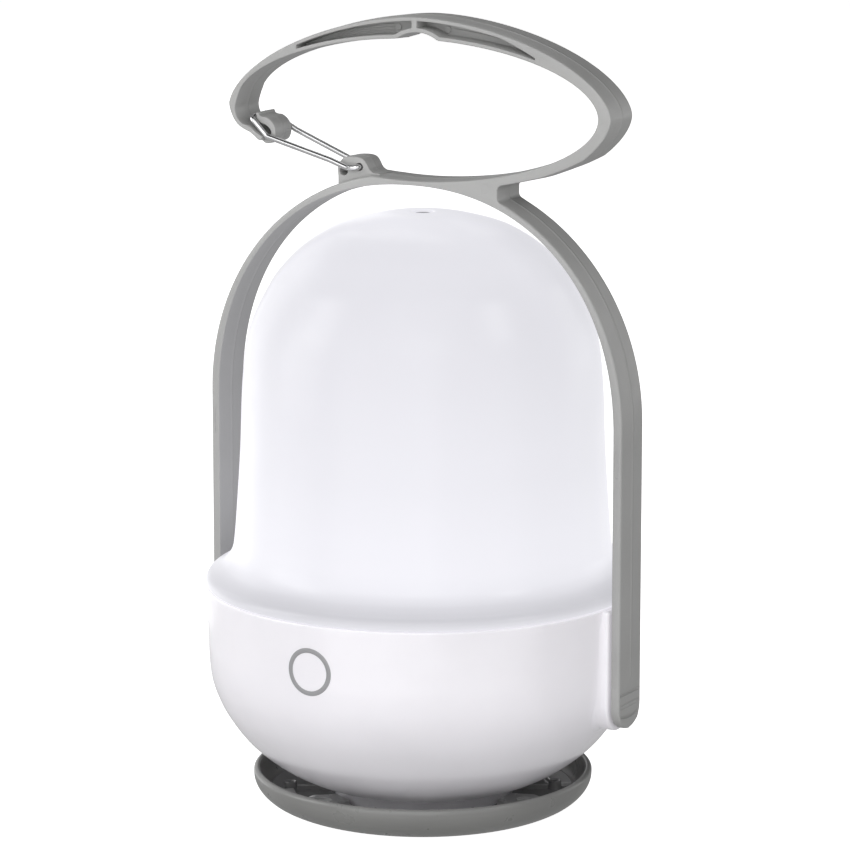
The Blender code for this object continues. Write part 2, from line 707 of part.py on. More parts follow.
def make_handle(mats, parts, cutters):
    handle = prism("handle_frame", frame_outline(), 9.0, "XZ", mats["grey"], parts)
    mask = prism("handle_sides", stadium(0.5 * HANDLE_WIDTH, PIVOT_Z, 270.0), 80.0, "YZ",
                 None, cutters)
    boolean(handle, mask, "INTERSECT")
    boolean(handle, prism("gate_lug", lug_outline(), LUG_HALF_DEPTH, "XZ", None, cutters),
            "UNION")
    boolean(handle, prism("ring_hook", hook_outline(), HOOK_HALF_DEPTH, "XZ", None, cutters),
            "UNION")
    cut_ring(handle, cutters)
    cut_gate_holes(handle, cutters)
    cut_legs(handle, cutters)
    return handle


def cut_ring(handle, cutters):
    """Crescent pockets on both faces, and the hanging notch inside the ring's top."""
    half = 0.5 * POCKET_DEPTH + 1.0
    for side, name in ((-1, "left"), (1, "right")):
        for face, where in ((-1, "front"), (1, "back")):
            y = face * (0.5 * HANDLE_WIDTH - POCKET_DEPTH + half)
            pocket = prism("pocket_%s_%s" % (name, where), pocket_outline(side), half, "XZ",
                           None, cutters, (0.0, y, 0.0))
            boolean(handle, pocket, "DIFFERENCE")
    notch = cylinders("ring_notch", [along_y(NOTCH_X, 0.0, NOTCH_TOP_Z - NOTCH_R)], NOTCH_R,
                      24.0, None, cutters, 48)
    boolean(handle, notch, "DIFFERENCE")


def cut_gate_holes(handle, cutters):
    """The hole the gate turns in, and the slot that its rear end sweeps."""
    axis_x, axis_z = GATE_AXIS
    end_x, end_z = GATE_REAR_END
    hole = cylinders("gate_hole", [along_y(axis_x, 0.0, axis_z)], WIRE_R + GAP, 20.0, None,
                     cutters, 16)
    boolean(handle, hole, "DIFFERENCE")
    relief = cylinders("rear_end_hole", [along_y(end_x, 0.0, end_z)], 1.8, 20.0, None,
                       cutters, 20)
    boolean(handle, relief, "DIFFERENCE")
    travel = Matrix.Rotation(-GATE_TRAVEL, 2)
    swept = travel @ Vector((end_x - axis_x, end_z - axis_z))
    slot_r = WIRE_R + 0.35
    low = arc((end_x, end_z), slot_r, 180.0, 360.0, 9)
    high = arc((axis_x + swept.x, axis_z + swept.y), slot_r, 0.0, 180.0, 9)
    slot = prism("rear_end_slot", low + high, 3.0, "XZ", None, cutters, (0.0, 4.8, 0.0))
    boolean(handle, slot, "DIFFERENCE")


def cut_legs(handle, cutters):
    """Blind holes for the pivot studs, and grip grooves across the outer faces."""
    depth = 2.0 * STUD_HOLE_DEPTH
    holes = [along_x(s * ARCH_INNER_R, 0.0, PIVOT_Z) for s in (-1, 1)]
    boolean(handle, cylinders("stud_holes", holes, STUD_BORE_R, depth, None, cutters),
            "DIFFERENCE")
    grooves = [(at(s * ARCH_OUTER_R, 0.0, PIVOT_Z + z), (0.9, 12.4, 1.0))
               for s in (-1, 1) for z in GROOVE_HEIGHTS]
    boolean(handle, boxes("grip_grooves", grooves, None, cutters), "DIFFERENCE")


def make_pivots(mats, parts):
    """Studs and clips that turn with the handle. Returns them for parenting."""
    pieces = []
    outer = ARCH_INNER_R + STUD_HOLE_DEPTH - GAP
    clip_x = BOSS_FACE_X - 2.0 * GAP - 1.5 * RING_THICKNESS
    for side, sign in (("left", -1), ("right", 1)):
        middle = sign * 0.5 * (outer + STUD_INNER_X)
        pieces.append(cylinders("pivot_stud_" + side, [along_x(middle, 0.0, PIVOT_Z)], STUD_R,
                                outer - STUD_INNER_X, mats["steel"], parts))
        pieces.append(ring_on_stud("stud_clip_" + side, STUD_R + GAP, CLIP_R, sign * clip_x,
                                   mats["steel"], parts))
    return pieces


def make_washers(mats, parts):
    washer_x = BOSS_FACE_X - GAP - 0.5 * RING_THICKNESS
    for side, sign in (("left", -1), ("right", 1)):
        ring_on_stud("friction_washer_" + side, STUD_BORE_R, WASHER_R, sign * washer_x,
                     mats["rubber"], parts)


def ring_on_stud(name, inner_r, outer_r, x, material, collection):
    half = 0.5 * RING_THICKNESS
    ring = turned(name, ring_profile(inner_r, outer_r, -half, half), material, collection,
                  steps=SMALL_STEPS)
    ring.matrix_world = (Matrix.Translation(Vector((x, 0.0, PIVOT_Z)) * MM)
                         @ Matrix.Rotation(math.radians(90), 4, "Y"))
    return ring


def gate_route():
    """Centre line of the gate's wire, from the front pin round to the rear pin."""
    ax, az = GATE_AXIS
    bx, bz = GATE_BAR
    rx, rz = GATE_REAR_END
    front = [(ax, -2.0, az), (ax, -4.9, az), (ax - 0.3, -5.9, az + 0.1),
             (ax - 1.4, -WIRE_Y, az + 0.2), (-29.7, -WIRE_Y, 204.7), (-51.5, -WIRE_Y, 210.3),
             (-53.6, -WIRE_Y, 211.4),
             (bx + 0.9, -WIRE_Y, bz - 0.7)]
    bar = [(bx + 0.2, -5.9, bz - 0.15), (bx, -5.0, bz), (bx, 5.0, bz),
           (bx + 0.2, 5.9, bz - 0.15)]
    rear = [(bx + 0.9, WIRE_Y, bz - 0.7), (-49.0, WIRE_Y, 211.5), (-30.7, WIRE_Y, 204.4),
            (rx - 1.6, WIRE_Y, rz + 0.7), (rx - 0.3, 5.9, rz + 0.15), (rx, 4.9, rz),
            (rx, 2.6, rz)]
    return front + bar + rear


def make_gate(mats, parts):
    curve = bpy.data.curves.new("wire_gate", "CURVE")
    curve.dimensions = "3D"
    curve.bevel_depth = WIRE_R * MM
    curve.bevel_resolution = 2
    curve.use_fill_caps = True
    route = gate_route()
    spline = curve.splines.new("POLY")
    spline.points.add(len(route) - 1)
    for point, place in zip(spline.points, route):
        point.co = (place[0] * MM, place[1] * MM, place[2] * MM, 1.0)
    drawn = bpy.data.objects.new("wire_gate_route", curve)
    parts.objects.link(drawn)
    return curve_to_mesh(drawn, "wire_gate", mats["steel"], parts)


# ---------------------------------------------------------------- assembly

def make_materials():
    return {
        "opal": make_material("opal", (0.93, 0.93, 0.96), 0.25, transmission=0.4),
        "white": make_material("white", (0.90, 0.89, 0.92), 0.22),
        "grey": make_material("grey", (0.30, 0.30, 0.29), 0.42),
        "gloss_grey": make_material("gloss_grey", (0.25, 0.25, 0.25), 0.12),
        "ink_grey": make_material("ink_grey", (0.38, 0.38, 0.38), 0.35),
        "rubber": make_material("rubber", (0.20, 0.20, 0.20), 0.70),
        "steel": make_material("steel", (0.75, 0.75, 0.77), 0.22, metallic=1.0),
        "black": make_material("black", (0.03, 0.03, 0.03), 0.50),
        "board_green": make_material("board_green", (0.02, 0.18, 0.07), 0.45),
        "board_white": make_material("board_white", (0.85, 0.85, 0.83), 0.40),
        "cell_blue": make_material("cell_blue", (0.05, 0.22, 0.55), 0.35),
    }


def main():
    clear_scene()
    parts = new_collection("camping_lantern")
    cutters = new_collection("cutters")
    mats = make_materials()

    make_dome(mats, parts)
    make_seal(mats, parts)
    make_bowl(mats, parts, cutters)
    make_touch_ring(mats, parts, cutters)
    make_touch_board(mats, parts)
    make_pads(mats, parts, cutters)
    make_deck(mats, parts, cutters)
    make_led_board(mats, parts, cutters)
    make_deck_screws(mats, parts)

    make_cells(mats, parts)
    make_cell_straps(mats, parts)
    make_cell_holder(mats, parts, cutters)
    make_driver_board(mats, parts, cutters)
    make_usb_socket(mats, parts, cutters)
    make_port_cover(mats, parts, cutters)

    make_collar(mats, parts, cutters)
    make_dish(mats, parts, cutters)
    make_insert(mats, parts, cutters)
    make_foot(mats, parts)
    make_base_screws(mats, parts)

    handle_axis = add_pivot("handle_axis", (0.0, 0.0, PIVOT_Z), parts)
    attach(make_handle(mats, parts, cutters), handle_axis)
    for piece in make_pivots(mats, parts):
        attach(piece, handle_axis)
    make_washers(mats, parts)
    gate_axis = add_pivot("gate_axis", (GATE_AXIS[0], 0.0, GATE_AXIS[1]), parts)
    attach(make_gate(mats, parts), gate_axis)


main()
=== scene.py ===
"""Looks of the camping lantern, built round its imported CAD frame.

Shapes are worked out in millimetres, in the frame's own axes: +Z up from the table, -Y to the
front, and MM turns them into metres. Flat outlines are lists of (x, z) or (y, z) points.
"""

import json
from math import copysign, cos, degrees, pi, radians, sin, sqrt, tan

import bmesh
import bpy
from mathutils import Matrix, Vector
from mathutils.geometry import delaunay_2d_cdt


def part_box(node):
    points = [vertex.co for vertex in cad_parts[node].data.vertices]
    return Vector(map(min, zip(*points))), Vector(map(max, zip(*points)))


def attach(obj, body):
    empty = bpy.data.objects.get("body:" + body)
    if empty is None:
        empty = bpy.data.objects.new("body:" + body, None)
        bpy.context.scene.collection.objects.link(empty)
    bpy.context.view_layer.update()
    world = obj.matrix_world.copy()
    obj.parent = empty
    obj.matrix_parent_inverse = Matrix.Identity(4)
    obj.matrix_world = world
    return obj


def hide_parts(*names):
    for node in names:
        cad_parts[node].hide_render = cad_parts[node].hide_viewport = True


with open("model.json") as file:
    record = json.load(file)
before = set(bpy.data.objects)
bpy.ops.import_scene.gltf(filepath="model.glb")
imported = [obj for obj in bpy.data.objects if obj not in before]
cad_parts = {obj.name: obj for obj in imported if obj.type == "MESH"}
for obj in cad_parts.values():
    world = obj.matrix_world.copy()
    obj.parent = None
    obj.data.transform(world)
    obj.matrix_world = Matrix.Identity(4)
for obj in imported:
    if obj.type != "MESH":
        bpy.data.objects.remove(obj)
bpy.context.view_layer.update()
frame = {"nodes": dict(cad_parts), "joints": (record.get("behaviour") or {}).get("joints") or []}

MM = 0.001
MERGE = 0.000002                 # points closer than this many metres are joined
LANTERN = "lantern"
HANDLE = "handle"
GATE = "gate"
FLAP = "port_flap"


def in_mm(box):
    return [corner / MM for corner in box]


# Sizes read from the frame
handle_low, handle_high = in_mm(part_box("handle_frame"))
LEG_X = handle_high.x
HALF_WIDTH = handle_high.y
PIVOT_Z = handle_low.z + HALF_WIDTH
RING_TOP = handle_high.z
SEAM_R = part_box("body_bowl")[1].x / MM
RIM_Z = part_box("body_bowl")[1].z / MM
LIP_Z = RIM_Z + 0.35
DOME_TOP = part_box("diffuser_dome")[1].z / MM
DISH_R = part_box("base_dish")[1].x / MM
DISH_RIM_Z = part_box("base_dish")[1].z / MM
PAD_FACE_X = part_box("pivot_pad_right")[1].x / MM
PAD_HALF_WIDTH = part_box("pivot_pad_right")[1].y / MM
PAD_TOP_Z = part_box("pivot_pad_right")[1].z / MM
touch_low, touch_high = in_mm(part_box("touch_ring"))
TOUCH_Z = 0.5 * (touch_low.z + touch_high.z)
TOUCH_R = 0.5 * (touch_high.x - touch_low.x)
GATE_JOINT = next(j for j in frame["joints"] if j["name"] == "gate_hinge")
GATE_AXIS = (GATE_JOINT["pos_m"][0] / MM, GATE_JOINT["pos_m"][2] / MM)

# Turned shapes
TURN_STEPS = 192
DOME_WALL = 2.2
BOWL_WALL = 2.4
BOWL_BOTTOM_Z = 8.6
SPIGOT_R = 63.2                  # outside of the diffuser's collar inside the bowl
TOUCH_LINE = 1.5                 # width of the touch key's ring
TOUCH_TURN = -1.5                # degrees from the middle, to the left
PAD_FLOW = 1.5                   # size of the blend from a pad into the bowl
PAD_EDGE = 0.9

# Handle
EDGE_STEPS = 4
SIDE_ROWS = (0.72, 0.55, 0.38, 0.2, 0.02)    # shares of the half depth between edge and bead
BEAD = 0.05                      # height of the parting line
SHARP_ANGLE = 30.0               # its faces that meet at more than this keep a sharp edge
DRAFT = 0.26                     # how far the faces fall back from the parting line
LEG_EDGE = 0.75                  # radius of the outer long edges
FINE_EDGE = 0.28
SMALL_EDGE = 0.25                # edge radius and draft of the lug and the hook
SMALL_DRAFT = 0.08
FOOT_Z = PIVOT_Z - HALF_WIDTH
# Centre, radii, power and tilt of each curve
ARCH_OUTER = ((0.0, 128.4), (LEG_X, 74.0), 2.04, 0.0)
ARCH_INNER = ((0.0, 125.6), (69.95, 73.0), 2.2, 0.0)
RING_OUTER = ((1.326, RING_TOP - 29.74), (67.459, 29.735), 1.722, 1.712)
RING_INNER = ((0.686, 222.167), (63.189, 21.669), 1.898, 0.979)
NOTCH = (2.0, 233.6, 12.3)       # x, z and radius of the hanging notch in the ring's top
POCKET_DEPTH = 6.4
POCKET_RIM = 1.45                # width of the ring's walls beside the pockets
LUG_HALF_DEPTH = 4.5
HOOK_HALF_DEPTH = 5.0
GROOVES_Z = (45.6, 41.8, 38.1)   # grip grooves at the feet of the legs
GROOVE_DEPTH = 0.55
GROOVE_HALF = 0.62               # half height, with its sloping side
GROOVE_SIDE = 0.3                # height of that slope
GROOVE_REACH = 6.3               # half length across the leg
FACET_Z = (46.3, 50.4)           # the slope that ends the parting ridge above them

# Emission by height: in the diffuser the lamp's light, with painted shade under the flared lip; on
# the bowl painted light, fading to painted shade at the bottom
DIFFUSER_GLOW_AND_SHADE = ((LIP_Z, 0.70), (75.0, 0.57), (77.0, 0.57), (79.0, 0.655), (82.0, 0.755), (86.0, 0.79),
        (92.0, 0.795), (100.0, 0.785), (112.0, 0.76), (126.0, 0.743), (140.0, 0.717),
        (154.0, 0.700), (166.0, 0.695), (176.0, 0.715), (184.0, 0.72), (DOME_TOP, 0.76))
GLOW_TONE = (0.975, 0.975, 1.03)
# Painted light on the bowl, neck and pads: emission by height that stands in for studio light,
# strongest below the rim and fading to painted shade at the bottom
BOWL_PAINTED_LIGHT = ((6.0, 0.02), (14.0, 0.06), (24.0, 0.13), (34.0, 0.20), (46.0, 0.28), (60.0, 0.30),
             (RIM_Z, 0.29))
BOWL_PAINTED_LIGHT_TONE = (1.0, 0.975, 1.03)

# Gate, with the (x, z) of its crossbar, its rear end and the hole in front of that end
WIRE_R = 0.9
WIRE_Y = 6.1
WIRE_BEND = 1.9
GATE_BAR = (-58.4, 216.3)
GATE_REAR_END = (-25.0, 201.5)
LUG_HOLE = (-25.7, 201.3)
SLOT_RISE = 2.65                 # height of the slot that the rear end sweeps through


# ---- outlines

def arc(centre, radius, start, end, count):
    """Points on a circle from one angle in degrees to another, both included."""
    angles = [radians(start + (end - start) * i / (count - 1)) for i in range(count)]
    return [(centre[0] + radius * cos(a), centre[1] + radius * sin(a)) for a in angles]


def circle(centre, radius, count):
    return arc(centre, radius, 0.0, 360.0, count + 1)[:-1]


def curve_point(curve, angle):
    """The point of a (centre, radii, power, tilt) curve at an angle in degrees."""
    centre, radii, power, tilt = curve
    a = radians(angle)
    t = radians(tilt)
    c, s = cos(a), sin(a)
    u = radii[0] * copysign(abs(c) ** (2.0 / power), c)
    w = radii[1] * copysign(abs(s) ** (2.0 / power), s)
    return (centre[0] + u * cos(t) - w * sin(t),
            centre[1] + u * sin(t) + w * cos(t))


def superellipse(curve, start, end, count):
    """Points on a curve from one angle to another, both included."""
    return [curve_point(curve, start + (end - start) * i / (count - 1)) for i in range(count)]


def height_on(curve, x, side):
    """Height of a curve at x, on its upper (1) or lower (-1) half."""
    low, high = 0.0, 180.0 * side
    for _ in range(30):
        middle = 0.5 * (low + high)
        if curve_point(curve, middle)[0] > x:
            low = middle
        else:
            high = middle
    return curve_point(curve, low)[1]


def smooth_curve(points, per_span):
    """A Catmull-Rom curve through the points, with per_span steps between neighbours."""
    padded = [points[0]] + list(points) + [points[-1]]
    result = []
    for i in range(1, len(padded) - 2):
        p0, p1, p2, p3 = (Vector(p) for p in padded[i - 1:i + 3])
        for k in range(per_span):
            t = k / per_span
            a = 2.0 * p1
            b = (p2 - p0) * t
            c = (2.0 * p0 - 5.0 * p1 + 4.0 * p2 - p3) * t * t
            d = (3.0 * p1 - p0 - 3.0 * p2 + p3) * t * t * t
            result.append(tuple(0.5 * (a + b + c + d)))
    result.append(tuple(points[-1]))
    return result


def offset_curve(points, distance):
    """Move an open curve sideways, to the right of its direction."""
    result = []
    for i, point in enumerate(points):
        before = Vector(points[max(i - 1, 0)])
        after = Vector(points[min(i + 1, len(points) - 1)])
        along = (after - before).normalized()
        result.append((point[0] + along.y * distance, point[1] - along.x * distance))
    return result


def anticlockwise(points):
    area = sum(a[0] * b[1] - b[0] * a[1] for a, b in zip(points, points[1:] + points[:1]))
    return list(points) if area > 0.0 else list(points)[::-1]


def inset_loop(points, insets):
    """Move an anticlockwise closed outline inwards, by one distance or one for each point."""
    result = []
    count = len(points)
    if isinstance(insets, float):
        insets = [insets] * count
    for i, point in enumerate(points):
        before = (Vector(point) - Vector(points[i - 1])).normalized()
        after = (Vector(points[(i + 1) % count]) - Vector(point)).normalized()
        normals = Vector((before.y, -before.x)) + Vector((after.y, -after.x))
        stretch = max(0.5, 1.0 + before.dot(after))
        result.append(tuple(Vector(point) - normals * (insets[i] / stretch)))
    return result


def round_corners(points, radius, limit=28.0, steps=5):
    """Replace each corner of a closed outline that turns more than the limit by an arc."""
    result = []
    count = len(points)
    for i, point in enumerate(points):
        here = Vector(point)
        back = Vector(points[i - 1]) - here
        ahead = Vector(points[(i + 1) % count]) - here
        turn = pi - back.angle(ahead)
        if degrees(turn) < limit:
            result.append(tuple(point))
            continue
        reach = min(radius * tan(0.5 * turn), 0.48 * back.length, 0.48 * ahead.length)
        bend = reach / tan(0.5 * turn)
        middle = (back.normalized() + ahead.normalized()).normalized()
        centre = here + middle * (bend / cos(0.5 * turn))
        first = here + back.normalized() * reach - centre
        sense = -1.0 if back.x * ahead.y - back.y * ahead.x > 0.0 else 1.0
        for k in range(steps + 1):
            spin = Matrix.Rotation(sense * turn * k / steps, 2)
            result.append(tuple(centre + spin @ first))
    return result


def stadium(half_width, bottom_centre_z, top_z, count):
    """Upright outline with a round bottom and a flat top."""
    bottom = arc((0.0, bottom_centre_z), half_width, 180.0, 360.0, count)
    rise = top_z - bottom_centre_z
    sides = [rise * k / 16 for k in range(1, 17)]
    right = [(half_width, bottom_centre_z + s) for s in sides]
    left = [(-half_width, bottom_centre_z + s) for s in sides[::-1]]
    top = [(half_width * (1 - k / 4), top_z) for k in range(1, 8)]
    return bottom + right + top + left


def radius_at(profile, z):
    """Radius of a turned profile at a height, between its two nearest points."""
    for (r0, z0), (r1, z1) in zip(profile, profile[1:]):
        if min(z0, z1) <= z <= max(z0, z1):
            share = 0.0 if z1 == z0 else (z - z0) / (z1 - z0)
            return r0 + (r1 - r0) * share
    return profile[0][0] if z > profile[0][1] else profile[-1][0]


# ---- mesh building

def flatten_points(places):
    """Drop the coordinate in which the points differ least."""
    spans = [max(p[k] for p in places) - min(p[k] for p in places) for k in range(3)]
    drop = spans.index(min(spans))
    kept = [k for k in range(3) if k != drop]
    return [Vector((p[kept[0]], p[kept[1]])) for p in places]


class Shape:
    """Points and faces of a mesh while it is put together, in millimetres."""

    def __init__(self):
        self.points = []
        self.faces = []

    def loop(self, points):
        start = len(self.points)
        self.points += [tuple(p) for p in points]
        return list(range(start, len(self.points)))

    def band(self, first, second):
        """Faces between two closed loops of the same length, or a loop and a single point."""
        count = max(len(first), len(second))
        for i in range(count):
            j = (i + 1) % count
            corners = [first[i % len(first)], first[j % len(first)],
                       second[j % len(second)], second[i % len(second)]]
            self.faces.append(tuple(dict.fromkeys(corners)))

    def bands(self, loops):
        for first, second in zip(loops, loops[1:]):
            self.band(first, second)

    def cap(self, *loops):
        """Triangles that fill the first loop around the others. The loops are nearly flat."""
        ids = [i for loop in loops for i in loop]
        places = [Vector(self.points[i]) for i in ids]
        flat = flatten_points(places)
        rings = []
        for loop in loops:
            start = sum(len(ring) for ring in rings)
            rings.append(list(range(start, start + len(loop))))
        found = delaunay_2d_cdt(flat, [], rings, 1, 0.000001)
        corners, faces, first_ids, face_rings = found[0], found[2], found[3], found[5]
        if len(corners) > len(ids):
            raise ValueError("the loops of a cap cross")
        for face, inside in zip(faces, face_rings):
            if inside == [0]:
                self.faces.append(tuple(ids[first_ids[k][0]] for k in face))

    def solid(self, loops):
        """Faces between loops one after another, and caps on the first and the last."""
        self.bands(loops)
        self.cap(loops[0])
        self.cap(loops[-1])

    def mesh(self, name):
        mesh = bpy.data.meshes.new(name)
        mesh.from_pydata([Vector(p) * MM for p in self.points], [], self.faces)
        return clean_mesh(mesh)

    def piece(self, name, material, body, slot, angle=32.0):
        """The finished object, riding on its CAD body."""
        return finish_piece(name, self.mesh(name), material, body, angle)


def clean_mesh(mesh):
    """Join points in one place, drop faces with no area and turn the faces outwards."""
    work = bmesh.new()
    work.from_mesh(mesh)
    bmesh.ops.remove_doubles(work, verts=work.verts, dist=MERGE)
    bmesh.ops.dissolve_degenerate(work, edges=work.edges, dist=0.5 * MERGE)
    bmesh.ops.recalc_face_normals(work, faces=work.faces)
    work.to_mesh(mesh)
    work.free()
    return mesh


def add_object(name, data):
    """A new object in the scene for a mesh, curve, light or camera."""
    obj = bpy.data.objects.new(name, data)
    bpy.context.scene.collection.objects.link(obj)
    return obj


def evaluated_mesh(obj):
    """An object's shape with its modifiers or its bevel, as a mesh of its own."""
    graph = bpy.context.evaluated_depsgraph_get()
    graph.update()
    return bpy.data.meshes.new_from_object(obj.evaluated_get(graph))


def smooth_faces(mesh, angle):
    """Shade a mesh smooth, but keep an edge where faces meet at more than an angle."""
    mesh.shade_smooth()
    mesh.set_sharp_from_angle(angle=radians(angle))


def finish_piece(name, mesh, material, body, angle):
    mesh.materials.clear()
    mesh.materials.append(material)
    smooth_faces(mesh, angle)
    obj = add_object(name, mesh)
    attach(obj, body)
    return obj


def lathe(shape, profile, closed=True, steps=TURN_STEPS, place=None):
    """Add a turned solid to a shape. The profile is a list of (radius, height)."""
    place = place or Matrix.Identity(4)
    loops = []
    for r, z in profile:
        turns = 1 if r < 0.001 else steps
        angles = [2.0 * pi * i / steps for i in range(turns)]
        points = [place @ Vector((r * cos(a), r * sin(a), z)) for a in angles]
        loops.append(shape.loop(points))
    shape.bands(loops + loops[:1] if closed else loops)


def turned(profile, closed=True):
    """A turned solid as a shape of its own."""
    shape = Shape()
    lathe(shape, profile, closed)
    return shape


def edge_rows(half_depth, radii, draft):
    """Depth and inset of every outline point, row by row from the front face to the back.

    Each row is (depths, insets). The first and last rows make the rounded long edges, and a fine
    bead in the middle is the mould's parting line.
    """
    rows = []
    for k in range(EDGE_STEPS + 1):
        a = 0.5 * pi * k / EDGE_STEPS
        depths = [-half_depth + r * (1.0 - cos(a)) for r in radii]
        rows.append((depths, [r * (1.0 - sin(a)) for r in radii]))
    for share in SIDE_ROWS:
        rows.append(([-half_depth * share] * len(radii), [0.0] * len(radii)))
    sloped = []
    for depths, insets in rows:
        fall = [i + draft * abs(y) / half_depth for y, i in zip(depths, insets)]
        sloped.append((depths, fall))
    bead = ([0.0] * len(radii), [-BEAD] * len(radii))
    back = [([-y for y in depths], insets) for depths, insets in sloped[::-1]]
    return sloped + [bead] + back


def side_walls(shape, outline, radii, half_depth, draft, bend=tuple):
    """The edges and sides of a flat moulding. Returns the loops of its front and back faces.

    bend moves each finished point.
    """
    loops = []
    for depths, insets in edge_rows(half_depth, radii, draft):
        flat = inset_loop(outline, insets)
        loops.append(shape.loop(bend((x, y, z)) for (x, z), y in zip(flat, depths)))
    shape.bands(loops)
    return loops[0], loops[-1]


def recess(shape, outline, face_y, depth):
    """The walls and floor of a blind recess. Returns the loop of its mouth."""
    lip = min(0.14, 0.5 * abs(depth))
    loops = []
    for share in (0.0, 0.35, 1.0):
        grow = lip * (1.0 - sin(0.5 * pi * share))
        y = face_y + copysign(lip, depth) * (1.0 - cos(0.5 * pi * share))
        flat = inset_loop(outline, -grow)
        loops.append(shape.loop((x, y, z) for x, z in flat))
    if abs(depth) > 1.0:
        flat = inset_loop(outline, 0.12)
        loops.append(shape.loop((x, face_y + depth, z) for x, z in flat))
    shape.bands(loops)
    shape.cap(loops[-1])
    return loops[0]


# ---- materials

def set_values(node, **values):
    """Set inputs of a node by name, with _ for the spaces in the names."""
    for name, value in values.items():
        node.inputs[name.replace("_", " ")].default_value = value


class Nodes:
    """A material's node tree, with short calls for the nodes used here."""

    def __init__(self, name):
        self.material = bpy.data.materials.new(name)
        self.material.use_nodes = True
        self.tree = self.material.node_tree
        self.shader = self.tree.nodes["Principled BSDF"]
        self.place = self.tree.nodes.new("ShaderNodeTexCoord").outputs["Object"]

    def add(self, kind, links=None, **values):
        node = self.tree.nodes.new(kind)
        for name, value in values.items():
            key = name.replace("_", " ")
            if key in node.inputs:
                node.inputs[key].default_value = value
            else:
                setattr(node, name, value)
        for name, source in (links or {}).items():
            self.tree.links.new(source, node.inputs[name])
        return node

    def link(self, source, socket):
        self.tree.links.new(source, self.shader.inputs[socket])

    def noise(self, scale, detail=2.0, roughness=0.5):
        return self.add("ShaderNodeTexNoise", {"Vector": self.place}, Scale=scale,
                        Detail=detail, Roughness=roughness).outputs["Fac"]

    def spread(self, source, low, high):
        """Map a pattern's middle range onto low to high."""
        node = self.add("ShaderNodeMapRange", {"Value": source}, From_Min=0.3, From_Max=0.7,
                        To_Min=low, To_Max=high)
        return node.outputs["Result"]

    def tint(self, source, first, second):
        """A colour between two, by a pattern."""
        ramp = self.add("ShaderNodeValToRGB", {"Fac": source})
        ramp.color_ramp.elements[0].position = 0.3
        ramp.color_ramp.elements[0].color = (*first, 1.0)
        ramp.color_ramp.elements[1].position = 0.7
        ramp.color_ramp.elements[1].color = (*second, 1.0)
        self.link(ramp.outputs["Color"], "Base Color")

    def bump(self, source, depth):
        """Raise the surface by a pattern, with its depth in millimetres."""
        node = self.add("ShaderNodeBump", {"Height": source}, Strength=1.0, Distance=depth * MM)
        self.link(node.outputs["Normal"], "Normal")


def shades(colour, share):
    """Two colours a little darker and lighter than the given one."""
    dark = tuple(c * (1.0 - share) for c in colour)
    light = tuple(min(1.0, c * (1.0 + share)) for c in colour)
    return dark, light


def plastic(name, colour, roughness, grain=0.0, **values):
    """Moulded plastic: fine spark-eroded grain, slight flow marks and uneven gloss."""
    nodes = Nodes(name)
    nodes.tint(nodes.noise(38.0, 4.0), *shades(colour, 0.04))
    gloss = nodes.noise(160.0, 3.0)
    nodes.link(nodes.spread(gloss, roughness * 0.88, roughness * 1.12), "Roughness")
    if grain:
        nodes.bump(nodes.noise(5200.0, 2.0, 0.6), grain)
    else:
        nodes.bump(nodes.noise(240.0, 1.0), 0.006)
    set_values(nodes.shader, **values)
    return nodes.material


def emission_by_height(nodes, levels, tone):
    """Emission that follows height: the lamp's light with painted shade in the diffuser, painted
    light and shade on the bowl. The levels are (height, strength) from the bottom.
    """
    height = nodes.add("ShaderNodeSeparateXYZ", {"Vector": nodes.place}).outputs["Z"]
    low, high = levels[0][0], levels[-1][0]
    share = nodes.add("ShaderNodeMapRange", {"Value": height}, From_Min=low * MM,
                      From_Max=high * MM).outputs["Result"]
    glow = nodes.add("ShaderNodeValToRGB", {"Fac": share})
    ramp = glow.color_ramp
    ramp.interpolation = "CARDINAL"
    ramp.elements[1].position = 1.0
    for height, _ in levels[1:-1]:
        ramp.elements.new((height - low) / (high - low))
    for element, (_, level) in zip(ramp.elements, levels):
        element.color = tuple(level * part for part in tone) + (1.0,)
    nodes.link(glow.outputs["Color"], "Emission Color")
    set_values(nodes.shader, Emission_Strength=1.0)


def white_shell(name):
    """Glossy white plastic. Its emission by height is painted light: strongest just below the rim,
    fading to painted shade at the bottom.
    """
    nodes = Nodes(name)
    nodes.tint(nodes.noise(38.0, 4.0), *shades((0.60, 0.59, 0.615), 0.03))
    nodes.link(nodes.spread(nodes.noise(160.0, 3.0), 0.20, 0.25), "Roughness")
    nodes.bump(nodes.noise(240.0, 1.0), 0.006)
    # Painted light toward the rim and painted shade toward the bottom, as emission by height
    emission_by_height(nodes, BOWL_PAINTED_LIGHT, BOWL_PAINTED_LIGHT_TONE)
    set_values(nodes.shader, Subsurface_Weight=0.3, Subsurface_Scale=0.003, IOR=1.5,
               Subsurface_Radius=(1.0, 0.9, 0.9), Coat_Weight=0.3, Coat_Roughness=0.06)
    return nodes.material


def opal(name):
    """Opal diffuser, lit from inside: the light is strongest just above the bowl. Its emission by
    height also holds painted shade, a dip under the flared lip.
    """
    nodes = Nodes(name)
    nodes.tint(nodes.noise(30.0, 3.0), (0.100, 0.097, 0.106), (0.106, 0.102, 0.114))
    nodes.link(nodes.spread(nodes.noise(120.0, 2.0), 0.30, 0.35), "Roughness")
    nodes.bump(nodes.noise(220.0, 1.0), 0.004)
    emission_by_height(nodes, DIFFUSER_GLOW_AND_SHADE, GLOW_TONE)
    set_values(nodes.shader, Subsurface_Weight=0.25, Subsurface_Scale=0.006, IOR=1.36,
               Subsurface_Radius=(1.0, 0.9, 1.0), Coat_Weight=0.05, Coat_Roughness=0.12)
    return nodes.material


